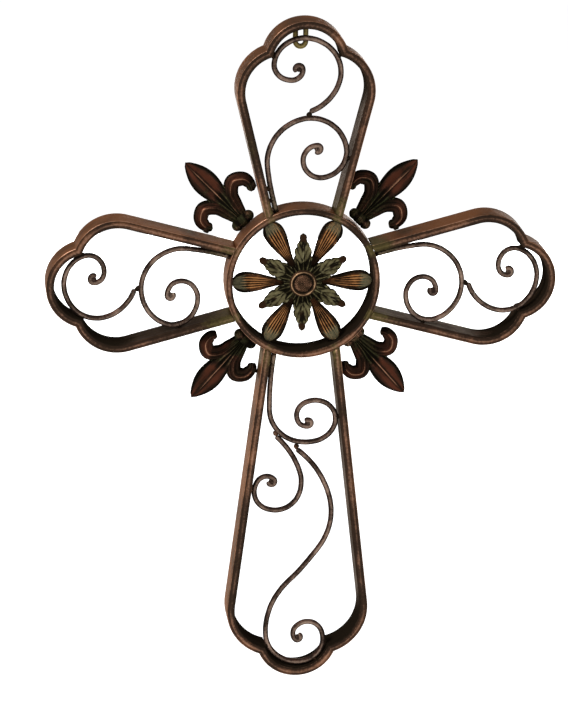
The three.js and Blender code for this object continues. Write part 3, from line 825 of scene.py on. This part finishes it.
def blade_skin(line, half, height, back):
    """A blade along a line of (x, z). height takes the share of the length t and of the half width s and
    gives the height above the back and a dictionary of marks. Each station is a ring: the front from edge
    to edge, then back again over the sides and the flat behind. A point lies at line + normal * across."""
    t = np.linspace(0, 1, len(line))[:, None]
    s = np.linspace(-1, 1, BLADE_SIDES)[None, :]
    level_up, marks = height(t, s)
    run = np.gradient(line, axis=0)
    run /= np.hypot(*run.T)[:, None]
    normal = np.stack([-run[:, 1], run[:, 0]], -1)

    def placed(across, y):
        """Points across the line at a depth y."""
        return np.stack([line[:, :1] + normal[:, :1] * across, y, line[:, 1:] + normal[:, 1:] * across], -1)

    across = s * half[:, None]
    front = placed(across * FRONT_SHARE, back - level_up)
    edge_level = np.where(BEHIND_SHARES > 0, level_up[:, -1:], level_up[:, :1])
    behind = placed(BEHIND_SHARES * half[:, None], back - BEHIND_RISES * edge_level)
    along = length_along(line)[:, None]
    tones = marked(level_up.shape, **marks, along=along, around=across)
    behind_tones = marked(behind.shape[:2], hollow=BEHIND_SHADE, along=along)
    return np.concatenate([front, behind], 1), np.concatenate([tones, behind_tones], 1)


def ramp(x, low, high):
    """0 below low, 1 above high and smooth between: 3 x^2 - 2 x^3."""
    x = np.clip((x - low) / (high - low), 0, 1)
    return x * x * (3 - 2 * x)


OUTLINE_STEPS = 400
SOFTENING_STEPS = 17


def through(t, points):
    """A smooth line through (share, value) pairs: straight pieces, softened by a short moving average."""
    shares, values = np.array(points).T
    fine_t = np.linspace(0, 1, OUTLINE_STEPS)
    line = np.interp(fine_t, shares, values)
    weights = np.hanning(SOFTENING_STEPS)
    weights /= weights.sum()
    padded = np.pad(line, SOFTENING_STEPS // 2, mode="edge")
    return np.interp(t, fine_t, np.convolve(padded, weights, "valid"))


# %% [markdown]
# ## The fleurs-de-lis
#
# Each fleur is a spear between two curls, tied by a collar that sits on the ring. The spear has a thin
# rib down its middle and raised edges, painted in shade, round two hollow fields; the curls have a ridge
# that follows their bend. Thin ribs run together at the collar. Sculpting would give livelier castings,
# but formulas keep all four alike, and each rib and groove can say where highlight and shade are painted.

# %% Shape the parts of a fleur
FLEUR_REACH = 101.0
SPEAR = {"foot": 10.0, "widest": 68.0, "foot_half": 3.0, "half": 14.6}
SPEAR_HEIGHTS = {"edge": 3.0, "swell": 3.6, "field": 1.9, "rib": 1.8, "rim": 0.9, "side_rib": 1.4}
SPEAR_TIP_DROP = 0.35
CURL_ROUTE = [(5, 10), (8, 24), (12, 38), (23, 47), (34, 41), (35.5, 31), (31, 25)]
CURL = {"half": 8.8, "end_half": 4.0, "ridge_at": 0.12, "round_end": 0.95}
CURL_HEIGHTS = {"edge": 2.4, "swell": 4.3, "ridge": 1.3}
WEB = {"start": 10.0, "end": 53.0, "start_half": 8.0, "end_half": 12.5, "ribs": 5}
WEB_HEIGHTS = {"edge": 3.4, "rib": 1.6}
COLLAR = {"length": 30.0, "radius": 6.5, "stand_off": 0.8, "stations": 48, "sides": 24}
COLLAR_GROOVE = {"at": 6.0, "width": 1.3, "depth": 0.08}
FLEUR_STATIONS = 90
FLEUR_WELD = -7.5


def spline(points, count):
    """A Catmull-Rom curve through points, evenly shared out: between two points it is a cubic whose slope
    at each is half the way between its neighbours."""
    points = np.array(points, float)
    at = np.linspace(0, len(points) - 1, count)
    k = np.minimum(at.astype(int), len(points) - 2)
    w = (at - k)[:, None]
    p1, p2 = points[k], points[k + 1]
    p0, p3 = points[np.maximum(k - 1, 0)], points[np.minimum(k + 2, len(points) - 1)]
    m1, m2 = (p2 - p0) / 2, (p3 - p1) / 2
    return (
        p1
        + m1 * w
        + (3 * (p2 - p1) - 2 * m1 - m2) * w**2
        + (2 * (p1 - p2) + m1 + m2) * w**3
    )


def spear_height(t, s):
    """Two sunken fields between a thin middle rib and raised edges. The rib runs the whole length, and
    near the foot two more ribs stand beside it. A highlight is painted on the ribs, and shade on the edges,
    between the ribs and beside the middle."""
    field = ramp(t, 0.32, 0.6)
    rib = bump(s, 0, 0.055)
    rim = bump(np.abs(s), 0.86, 0.12)
    side_ribs = bump(np.abs(s), 0.55, 0.14) * (1 - field)
    dip = field * (1 - np.abs(s)) * np.abs(s) * 4
    up = SPEAR_HEIGHTS
    level_up = up["edge"] + up["swell"] * np.sqrt(1 - s**2) - up["field"] * dip
    level_up = level_up + up["rib"] * rib + up["rim"] * rim * field + up["side_rib"] * side_ribs
    level_up = level_up * (1 - SPEAR_TIP_DROP * ramp(t, 0.8, 1.0))
    between_ribs = (1 - field) * (0.9 * bump(np.abs(s), 0.28, 0.14) + 0.3)
    edge = bump(np.abs(s), 1.0, 0.16) + 0.5 * rim
    return level_up, {
        "warm": field * (0.85 * bump(np.abs(s), 0.42, 0.3) - 0.5 * rim),
        "painted_highlight": 0.8 * rib * ramp(t, 0.1, 0.4) * (1 - ramp(t, 0.75, 1.0)) + 0.4 * side_ribs,
        "hollow": edge + between_ribs + 0.35 * bump(np.abs(s), 0.15, 0.08),
        "patina": 0.7 * (1 - ramp(t, 0.3, 0.5)) + 0 * s,
    }


def curl_height(t, s):
    """A round band with a soft ridge a little inside its middle and a groove on either side of it. A
    highlight is painted on the ridge, most at the bend, where the warm coat is a painted highlight too, and
    shade is painted in the grooves and away from the bend.
    """
    from_ridge = s - CURL["ridge_at"]
    ridge = bump(from_ridge, 0, 0.12)
    bend = bump(t, 0.6, 0.22)
    up = CURL_HEIGHTS
    level_up = up["edge"] + up["swell"] * (1 - np.abs(s) ** 2.5) ** 0.6 + up["ridge"] * ridge + 0 * t
    grooves = 0.55 * bump(np.abs(from_ridge), 0.34, 0.12) + bump(np.abs(s), 1.0, 0.24)
    return level_up, {
        "warm": 0.75 * bump(s, 0.2, 0.4) * bend + 0.1,
        "painted_highlight": ridge * (0.25 + 0.5 * bend) * (1 - ramp(t, 0.8, 0.95)),
        "hollow": grooves + 0.3 * (1 - bend),
        "patina": 0.6 * (1 - ramp(t, 0.1, 0.45)) + 0.35 * ramp(t, 0.7, 0.9) + 0 * s,
    }


def web_height(t, s):
    """The plate between spear and curls, with ribs that run together at the collar: a squared cosine.
    A highlight is painted on the ribs and shade between them.
    """
    ribs = np.cos(WEB["ribs"] * np.pi * s) ** 2
    level_up = WEB_HEIGHTS["edge"] + WEB_HEIGHTS["rib"] * ribs + 0 * t
    return level_up, {"painted_highlight": 0.35 * ribs, "hollow": 0.9 * (1 - ribs), "patina": 1.0}


def collar_skin():
    """A round-ended roll across the stem: circles along X whose radius follows a half circle at both ends,
    pinched by two shallow grooves where the band is folded. A highlight is painted along its front, and
    shade all over, deepest in the grooves."""
    length, radius, groove = COLLAR["length"], COLLAR["radius"], COLLAR_GROOVE
    x = -np.cos(np.linspace(0.05, np.pi - 0.05, COLLAR["stations"])) * length / 2
    to_end = np.clip((length / 2 - np.abs(x)) / radius, 0, 1)
    pinch = 1 - groove["depth"] * bump(np.abs(x), groove["at"], groove["width"])
    lumps = 1 + 0.02 * np.sin(x * 1.7)
    r = radius * np.sqrt(np.clip(1 - (1 - to_end) ** 2, 0.01, 1)) * pinch * lumps * FRONT_SHARE
    turn = np.linspace(0, 2 * np.pi, COLLAR["sides"], endpoint=False)
    z = RING_RADIUS + COLLAR["stand_off"] + radius + r[:, None] * np.cos(turn)
    y = -radius + r[:, None] * np.sin(turn)
    rings = np.stack([np.broadcast_to(x[:, None], y.shape), y, z], -1)
    tones = marked(
        y.shape,
        warm=0.1,
        painted_highlight=np.clip(-np.sin(turn), 0, 1) ** 3 * 0.35,
        hollow=bump(np.abs(x), groove["at"], 1.8)[:, None] * 0.8 + 0.5,
        patina=0.7,
        along=radius * turn,
        around=x[:, None],
    )
    return rings, tones


def curl_line(spread, side):
    """The middle line of a curl, moved out across the fleur's axis by the spread."""
    line = spline(CURL_ROUTE, FLEUR_STATIONS)
    return np.stack([side * line[:, 0] * spread, RING_RADIUS + line[:, 1]], -1)


def curl_half():
    """Half the band's width along the curl: narrow ends, a sine between them, and a round tip."""
    t = np.linspace(0, 1, FLEUR_STATIONS)
    past = np.clip((t - CURL["round_end"]) / (1 - CURL["round_end"]), 0, 1)
    tip = np.sqrt(np.clip(1 - past**2, END_SHARE, 1))
    return (CURL["end_half"] + (CURL["half"] - CURL["end_half"]) * np.sin(np.pi * t)) * tip


def fleur_shells(spread):
    """All parts of one fleur, pointing along +Z from the ring. The spear widens to its widest place and
    then narrows as 1 - 0.9 u^2 towards a round tip."""
    t = np.linspace(0, 1, FLEUR_STATIONS)
    at = SPEAR["foot"] + (FLEUR_REACH - SPEAR["foot"]) * t
    past = np.clip((at - SPEAR["widest"]) / (FLEUR_REACH - SPEAR["widest"]), 0, 1)
    widening_share = ramp(at, SPEAR["foot"], SPEAR["widest"])
    half = SPEAR["foot_half"] + (SPEAR["half"] - SPEAR["foot_half"]) * widening_share
    half = half * (1 - 0.9 * past**2) * np.sqrt(np.clip((1 - t) / 0.03, END_SHARE, 1))
    stem = np.stack([0 * at, RING_RADIUS + at], -1)
    shells = [skin(*blade_skin(stem, half, spear_height, 0.0))]
    for side in (1, -1):

        def sided_height(t, s, side=side):
            """The curl's height, with its ridge on the same side of the bend on both curls."""
            return curl_height(t, s * side)

        shells.append(skin(*blade_skin(curl_line(spread, side), curl_half(), sided_height, 0.0)))
    at = WEB["start"] + (WEB["end"] - WEB["start"]) * t
    half = WEB["start_half"] + (WEB["end_half"] - WEB["start_half"]) * t
    web = np.stack([0 * at, RING_RADIUS + at], -1)
    shells.append(skin(*blade_skin(web, half, web_height, 0.0)))
    shells.append(skin(*collar_skin()))
    return shells


# %% [markdown]
# ### One fleur in each corner
#
# The arms' bars lean differently on the long arm, so a corner's middle is not exactly at 45 degrees. Each
# fleur points down the middle between the two bars beside it, and its curls are spread until one of them
# comes within its weld of a bar. The welder would have bent them by eye in the same way.

# %% Set a fleur in each corner
CORNERS = {
    "upper_right": ("top", "right"),
    "lower_right": ("right", "bottom"),
    "lower_left": ("bottom", "left"),
    "upper_left": ("left", "top"),
}


def bar_beside(arm, away):
    """The outer face of an arm's straight bar, seen from an axis turned away from the arm's own: x to
    x cos + z sin, and z to z cos - x sin."""
    x, z = (resampled(frame_edge(arm, 0.0)[: ARC_STEPS + 1], 1.0) * [-1, 1]).T
    return np.stack([x * np.cos(away) + z * np.sin(away), z * np.cos(away) - x * np.sin(away)], -1)


for k, (corner, (before, after)) in enumerate(CORNERS.items()):
    lean = (layouts[before]["lean"] - layouts[after]["lean"]) / 2
    turn = (k + 0.5) * np.pi / 2 + lean
    line, clear = curl_line(1.0, 1), curl_half() + GAP
    bars = [
        bar_beside(layouts[before], np.pi / 4 + lean),
        bar_beside(layouts[after], np.pi / 4 - lean),
    ]
    spread, contact = min((widening(line, clear, bar) for bar in bars), key=lambda found: found[0])
    weld_spots += [((contact[0] * side, FLEUR_WELD, contact[1]), turn, 1) for side in (1, -1)]
    shells = [turned_skin(shell, turn) for shell in fleur_shells(spread)]
    make_piece(f"{corner}_lily", shells, [f"{corner}_fleur"], finishes["fleur"])

# %% [markdown]
# ## The flower
#
# The flower is three castings on one axis. Six ribbed petals reach the ring's inner wall, six lobed leaves
# lie over the gaps between them, and a stippled button with a raised rim covers the middle. The petals
# are blades again, like the fleurs' spears; a displacement picture could carry the ribs too, but a
# formula keeps them sharp and needs no image.

# %% Make the six petals
PETAL = {"half": 12.2, "neck": 3.2, "neck_end": 0.22, "widest": 0.82, "hub": 20.0, "crest": 4.6}
PETAL_HEIGHTS = {"edge": 2.4, "rib": 1.1, "rim": 1.0, "dish": 0.9, "tooth": 0.5}
PETAL_RIBS, PETAL_TEETH = 3.9, 6.5
PETAL_START, PETAL_END = 0.1, 0.998
PETAL_STATIONS = 80
PETAL_COUNT = 6
FLOWER_BACK = box_mm("petal_rosette")[1][1]


def petal_height(t, s):
    """Five ribs that fan out with the petal inside a smooth rim. The ribs fade in from the neck and break up
    near the tip, where small teeth take their place. A highlight is painted on the ribs, the teeth and a
    line on the rim, and shade between the ribs, between the teeth and over the rim."""
    fan = ramp(t, 0.12, 0.4) * (1 - ramp(t, 0.78, 0.9))
    middle = 1 - ramp(np.abs(s), 0.58, 0.74)
    ribs = np.cos(PETAL_RIBS * np.pi * s) ** 2 * middle
    rim = ramp(np.abs(s), 0.66, 0.84)
    teeth = np.cos(PETAL_TEETH * np.pi * s) ** 2 * ramp(t, 0.78, 0.9) * (1 - rim)
    dish = (1 - s**2) * (1 - 0.5 * fan)
    up = PETAL_HEIGHTS
    level_up = up["edge"] + up["rib"] * ribs * fan + up["rim"] * rim + up["dish"] * dish + up["tooth"] * teeth
    past_neck = ramp(t, 0.2, 0.45)
    rim_line = bump(np.abs(s), 0.82, 0.06)
    between_ribs = (1 - ribs) * fan * middle
    between_teeth = (1 - teeth) * ramp(t, 0.8, 0.9)
    return level_up, {
        "warm": 0.7 * middle * past_neck * (1 - ramp(t, 0.7, 0.88)),
        "painted_highlight": 0.8 * ribs**1.5 * fan * past_neck + 0.55 * teeth + 0.3 * rim_line,
        "hollow": 1.1 * between_ribs + 0.85 * rim + 0.6 * between_teeth,
        "patina": 0.9 * ramp(t, 0.7, 0.85) * (1 - rim) + 0.5 * (1 - ramp(t, 0.05, 0.3)),
    }


def petal_skin():
    """One petal along +Z: it widens smoothly from the neck and ends as a quarter of an ellipse."""
    share = np.linspace(PETAL_START, PETAL_END, PETAL_STATIONS)
    half = PETAL["neck"] + (PETAL["half"] - PETAL["neck"]) * ramp(share, PETAL["neck_end"], PETAL["widest"])
    past = np.clip((share - PETAL["widest"]) / (1 - PETAL["widest"]), 0, 1)
    half = half * np.sqrt(np.clip(1 - past**2, 0.001, 1))
    line = np.stack([0 * share, share * (RING_RADIUS - RING_BAR - GAP)], -1)
    return skin(*blade_skin(line, half, petal_height, FLOWER_BACK))


petal = petal_skin()
petals = [turned_skin(petal, np.pi * (2 * k + 1) / PETAL_COUNT) for k in range(PETAL_COUNT)]

DISC_SIDES = 48
DISC_HOLE = 0.5
DISC_EDGE = 0.6


def disc_skin(radius, back, front):
    """A plain round plate with a softened front edge: its profile turned about the flower's axis. It lies
    under the other castings and is painted in shade.
    """
    inside = DISC_HOLE
    profile = [(inside, front), (radius - DISC_EDGE, front), (radius, front + DISC_EDGE)]
    profile += [(radius, back), (inside, back)]
    turn = np.linspace(0, 2 * np.pi, DISC_SIDES, endpoint=False)
    r, y = np.array(profile).T
    x, z = r[:, None] * np.sin(turn), r[:, None] * np.cos(turn)
    rings = np.stack([x, np.broadcast_to(y[:, None], x.shape), z], -1)
    return skin(rings, marked(x.shape, warm=0.1, hollow=0.8))


petals.append(turned_skin(disc_skin(PETAL["hub"], FLOWER_BACK, FLOWER_BACK - PETAL["crest"]), 0.0))
make_piece("petals", petals, ["petal_rosette"], finishes["petal"])

# %% [markdown]
# ### The leaves
#
# A leaf is a blade with a lobed outline and slanting veins, painted olive with a brown tip. The outline is
# a list of half widths, because its lobes follow no formula. Two rows of small sepals stand in the middle,
# each a tiny blade with one sharp rib.

# %% Make the six leaves
LEAF = {"reach": 57.5, "hub": 17.0, "crest": 4.0, "foot": 0.12, "stations": 120}
LEAF_HEIGHTS = {"edge": 2.0, "cup": 1.1, "vein": 0.9, "middle": 0.5, "finger": 1.6}
LEAF_VEINS = 5.0
LEAF_OUTLINE = [
    (0.0, 4.0), (0.14, 6.0), (0.27, 9.3), (0.38, 10.7), (0.45, 10.4), (0.5, 9.0), (0.56, 10.2), (0.64, 9.5),
    (0.69, 7.4), (0.75, 7.3), (0.8, 5.4), (0.84, 4.2), (0.9, 4.2), (0.96, 3.4), (1.0, 0.5),
]
LEAF_BACK = box_mm("leaf_rosette")[1][1]


def leaf_height(t, s):
    """A cupped leaf: thin veins, painted in shade, that slant out from a furrow down the middle, soft pads
    between them, and a rounded brown finger at the tip. The veins of the two halves are out of step. A
    highlight is painted on the pads, the middle and the finger; shade is painted in the furrow, the veins,
    at the edges and as a painted shadow before the finger."""
    finger = ramp(t, 0.78, 0.87)
    body = 1 - finger
    step = t - 0.34 * np.abs(s) + 0.03 * np.sign(s) + 0.02 * np.sin(17 * t)
    veins = np.abs(np.sin(LEAF_VEINS * np.pi * step)) ** 0.5
    furrow = bump(np.abs(s), 0.14, 0.09) * body
    middle = bump(s, 0, 0.08) * body
    up = LEAF_HEIGHTS
    level_up = up["edge"] + up["cup"] * np.abs(s) ** 1.4 * body
    level_up = level_up + up["vein"] * veins * body * (0.4 + 0.6 * np.abs(s))
    level_up = level_up + up["middle"] * middle + up["finger"] * finger * (1 - 0.8 * s**2)
    shadow = 0.6 * bump(t, 0.72, 0.07) * (1 - np.abs(s))
    return level_up, {
        "warm": 0.85 * veins * body,
        "painted_highlight": 0.45 * veins**4 * (0.3 + 0.7 * np.abs(s)) * body + 0.3 * middle + 0.15 * finger,
        "hollow": 0.6 * furrow + 0.8 * (1 - veins) * body + 0.8 * bump(np.abs(s), 1, 0.09) + shadow,
        "patina": finger + 0.75 * bump(s, 0, 0.35) * bump(t, 0.66, 0.14),
    }


share = np.linspace(LEAF["foot"], 1.0, LEAF["stations"])
leaf_half = through(np.linspace(0, 1, LEAF["stations"]), LEAF_OUTLINE)
leaf_line = np.stack([0 * share, share * LEAF["reach"]], -1)
leaf = skin(*blade_skin(leaf_line, leaf_half, leaf_height, LEAF_BACK))
leaves = [turned_skin(leaf, 2 * np.pi * k / PETAL_COUNT) for k in range(PETAL_COUNT)]
leaves.append(turned_skin(disc_skin(LEAF["hub"], LEAF_BACK, LEAF_BACK - LEAF["crest"] + DISC_EDGE), 0.0))
make_piece("leaves", leaves, ["leaf_rosette"], finishes["leaf"])

# %% Add the two rows of small sepals
SEPAL = {"foot": 0.4, "half": 4.2, "shorter": 2.0, "rib": 1.3, "rise": 0.6, "count": 12, "stations": 24}
# Each row's reach, its height above the leaves' back and its turn as a share of a step.
SEPAL_ROWS = ((29.5, 3.4, 0.5), (24.0, 4.2, 0.0))


def sepal_shell(reach, level, shift, k):
    """One small pointed leaf with a sharp rib, the k-th of a row that stands a level above the leaves'
    back and is turned by a share of a step. Every second one is a little shorter."""

    def sepal_height(t, s):
        """A roof that rises towards the tip, with a highlight painted on the rib and the edges and shade
        painted beside the rib.
        """
        rib = bump(s, 0, 0.22)
        pale = 0.7 * rib + 0.4 * bump(np.abs(s), 0.8, 0.15)
        level_up = level + SEPAL["rib"] * (1 - np.abs(s)) + SEPAL["rise"] * t
        return level_up, {"warm": 0.45, "painted_highlight": pale * (0.4 + 0.5 * t), "hollow": 1 - rib}

    along = np.linspace(SEPAL["foot"], 1.0, SEPAL["stations"])
    t = np.linspace(0, 1, SEPAL["stations"])
    half = SEPAL["half"] * np.sqrt(np.clip(1 - t**2, 0.01, 1))
    line = np.stack([0 * along, along * (reach - SEPAL["shorter"] * (k % 2))], -1)
    shell = skin(*blade_skin(line, half, sepal_height, LEAF_BACK))
    return turned_skin(shell, 2 * np.pi * (k + shift) / SEPAL["count"])


sepals = [sepal_shell(*row, k) for row in SEPAL_ROWS for k in range(SEPAL["count"])]
make_piece("sepals", sepals, [], finishes["sepal"])

# %% [markdown]
# ### The button
#
# A small dome with a raised rim, stippled like a seed head, covers the middle. It is turned from a profile
# as on a lathe, and its bosses are laid out by the golden angle, which fills a disc evenly with any
# number of them. Separate small balls would do as well, at many more triangles.

# %% Make the stippled button
BUTTON = {"radius": 15.5, "dome": 10.5, "rim_at": 13.4, "groove_at": 11.0, "rings": 90, "sides": 150}
BUTTON_HEIGHTS = {"edge": 2.1, "swell": 1.5, "rim_foot": 1.9, "rim": 2.0, "side": 2.0, "boss": 0.42}
BOSS_RADIUS = 0.55
BUTTON_BACK = box_mm("centre_button")[1][1]
STIPPLES = 90
GOLDEN_ANGLE = np.pi * (3 - np.sqrt(5))


def button_skin():
    """A disc turned about the flower's axis: a rim, a groove and a dome. The dome carries small bosses laid
    out like sunflower seeds: the k-th lies at radius sqrt(k) and turns by the golden angle."""
    hole, outside = 0.2, BUTTON["radius"]
    radius = np.concatenate([np.linspace(hole, outside, BUTTON["rings"]), [outside, outside, hole]])
    turn = np.linspace(0, 2 * np.pi, BUTTON["sides"], endpoint=False)
    dome, up = BUTTON["dome"], BUTTON_HEIGHTS
    level_up = up["edge"] + up["swell"] * np.sqrt(np.clip(1 - (radius / dome) ** 2, 0, 1))
    level_up = np.maximum(level_up, up["rim_foot"] + up["rim"] * bump(radius, BUTTON["rim_at"], 1.3))
    level_up[-3:] = [up["side"], 0.0, 0.0]
    x, z = radius[:, None] * np.sin(turn), radius[:, None] * np.cos(turn)
    k = np.arange(STIPPLES) + 0.5
    seed = (dome - 0.8) * np.sqrt(k / STIPPLES)
    seeds = np.stack([seed * np.sin(k * GOLDEN_ANGLE), seed * np.cos(k * GOLDEN_ANGLE)], -1)
    apart = np.hypot(x[..., None] - seeds[:, 0], z[..., None] - seeds[:, 1]).min(-1)
    boss = bump(apart, 0, BOSS_RADIUS) * (radius[:, None] < dome)
    boss[-3:] = 0
    height = level_up[:, None] + up["boss"] * boss
    rings = np.stack([x, BUTTON_BACK - height, z], -1)
    rim = bump(radius, BUTTON["rim_at"], 0.9)[:, None] + 0 * turn
    rim[-3:] = 0
    inside = (radius < dome)[:, None] * np.ones_like(boss)
    # A highlight is painted on the bosses and the rim; shade is painted between the bosses and in the groove.
    tones = marked(
        x.shape,
        warm=0.6 * inside,
        painted_highlight=0.6 * boss + 0.75 * rim,
        hollow=0.55 * inside * (1 - boss) + bump(radius, BUTTON["groove_at"], 0.9)[:, None],
        along=radius[:, None] * turn,
        around=radius[:, None],
    )
    return skin(rings, tones)


make_piece("button", [turned_skin(button_skin(), 0.0)], ["centre_button"], finishes["button"])

# %% [markdown]
# ## The nail loop and the welds
#
# A strap bent to a U hangs behind the top lobe and goes over the nail. It is one more bar between two
# outlines. Where rods and bars meet, the welder left small beads, painted here mostly in shade. They are
# lumpy balls that sink into both pieces; a boolean union would melt the pieces into one, and each has to
# stay itself.

# %% Make the nail loop
HANGER = {"width": 17.5, "drop": 28.0, "strap": 5.9, "thickness": 3.0, "offset": -4.0}
HANGER_SECTION = {"corner": 0.8, "crown": 0.2}
STRAIGHT_STEPS = 20


def loop_edge(half, turn_at, top_at):
    """A U: down the left side, round a half circle below and up the right side."""
    down = np.linspace(0, 1, STRAIGHT_STEPS, endpoint=False)[:, None]
    bend = polar((0.0, turn_at), half, np.pi, 2 * np.pi)
    left_side = np.array([-half, top_at(-half)]) * (1 - down) + bend[0] * down
    right_side = bend[-1] * (1 - down) + np.array([half, top_at(half)]) * down
    return np.concatenate([left_side, bend, right_side])


top_arm = layouts["top"]
lobe_middle = top_arm["reach"] - LOBE_RADIUS
lobe_inside = LOBE_RADIUS - FRAME_BAR - GAP


def ceiling(across):
    """The lobe's inner face above the loop."""
    return lobe_middle + np.sqrt(lobe_inside**2 - (across + HANGER["offset"]) ** 2)


outside = HANGER["width"] / 2
turn_at = ceiling(0.0) - HANGER["drop"] + outside
outer_edge = loop_edge(outside, turn_at, ceiling)
inner_edge = loop_edge(outside - HANGER["strap"], turn_at, ceiling)
edges = [edge + np.array([HANGER["offset"], 0.0]) for edge in (inner_edge, outer_edge)]
# No patina, and the full painted shade on the strap's inner face.
patina, inner_shade = np.zeros(len(inner_edge)), np.ones(len(inner_edge))
loop = skin(*bar_skin(*edges, HANGER["thickness"], HANGER["strap"], patina, inner_shade, **HANGER_SECTION))
make_piece("nail_loop", [turned_skin(loop, 0.0)], ["hanger"], finishes["strap"])

# %% Lay a bead on each weld
# The beads are mostly painted shade, with a little painted highlight.
BEAD = {"radius": 3.2, "depth": 3.4, "lumps": 0.16, "tones": {"painted_highlight": 0.2, "hollow": 0.75}}
beads = [turned_skin(ball_skin(spot, **BEAD), turn, mirror) for spot, turn, mirror in weld_spots]
make_piece("weld_beads", beads, [], finishes["bar"])

# %% [markdown]
# ## Floor and light
#
# The photograph has a plain white ground with soft light from above and from the left. A large pale floor
# below the cross and a nearly white world fill the picture. Three big square lamps give soft edges: small
# ones would draw hard shadows of every bar on the bars behind it.

# %% Lay the floor
FLOOR_DROP = 0.25
FLOOR_SIZE = 30.0
FLOOR_GLOW = 0.65
FLOOR_GREY = 0.85
FLOOR_ROUGHNESS = 0.9
low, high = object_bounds()
floor_mesh = bpy.data.meshes.new("floor")
half = FLOOR_SIZE / 2
floor_z = low[2] - FLOOR_DROP
floor_corners = [(x * half, y * half, floor_z) for x, y in ((-1, -1), (1, -1), (1, 1), (-1, 1))]
floor_mesh.from_pydata(floor_corners, [], [(0, 1, 2, 3)])
floor = bpy.data.objects.new("floor", floor_mesh)
bpy.context.scene.collection.objects.link(floor)
pale = bpy.data.materials.new("pale_floor")
pale.use_nodes = True
ground = pale.node_tree.nodes["Principled BSDF"]
ground.inputs["Base Color"].default_value = (FLOOR_GREY, FLOOR_GREY, FLOOR_GREY, 1.0)
ground.inputs["Roughness"].default_value = FLOOR_ROUGHNESS
ground.inputs["Emission Color"].default_value = (1.0, 1.0, 1.0, 1.0)
ground.inputs["Emission Strength"].default_value = FLOOR_GLOW
floor_mesh.materials.append(pale)

# %% Set the world and the lamps
ROOM_LIGHT = 0.38
BACKDROP_WHITE = 0.97
world = bpy.data.worlds.new("studio")
bpy.context.scene.world = world
world.use_nodes = True
backdrop = world.node_tree.nodes["Background"]
backdrop.inputs["Color"].default_value = (1.0, 1.0, 1.0, 1.0)
# The backdrop itself is nearly white; as a light it is weaker, so the lamps still model the bars.
seen = world.node_tree.nodes.new("ShaderNodeLightPath")
glow = world.node_tree.nodes.new("ShaderNodeMapRange")
glow.inputs["To Min"].default_value = ROOM_LIGHT
glow.inputs["To Max"].default_value = BACKDROP_WHITE
world.node_tree.links.new(seen.outputs["Is Camera Ray"], glow.inputs["Value"])
world.node_tree.links.new(glow.outputs["Result"], backdrop.inputs["Strength"])
bpy.context.scene.view_settings.view_transform = "Standard"

# Each lamp's place from the middle of the cross and its side, in metres, and its power in watts.
LAMPS = {
    "key_light": ((-1.9, -1.2, 2.4), 0.9, 95.0),
    "fill_light": ((2.2, -2.0, 0.6), 1.8, 18.0),
    "back_light": ((0.4, 2.8, -0.5), 1.6, 60.0),
}
middle = (Vector(low) + Vector(high)) / 2


def soft_box(name, place, size, power):
    """A square area light that faces the middle of the cross."""
    lamp = bpy.data.objects.new(name, bpy.data.lights.new(name, "AREA"))
    lamp.data.shape = "SQUARE"
    lamp.data.size = size
    lamp.data.energy = power
    bpy.context.scene.collection.objects.link(lamp)
    lamp.location = middle + Vector(place)
    lamp.rotation_euler = Vector(place).to_track_quat("Z", "Y").to_euler()


for name, settings in LAMPS.items():
    soft_box(name, *settings)
print("lamps", list(LAMPS))
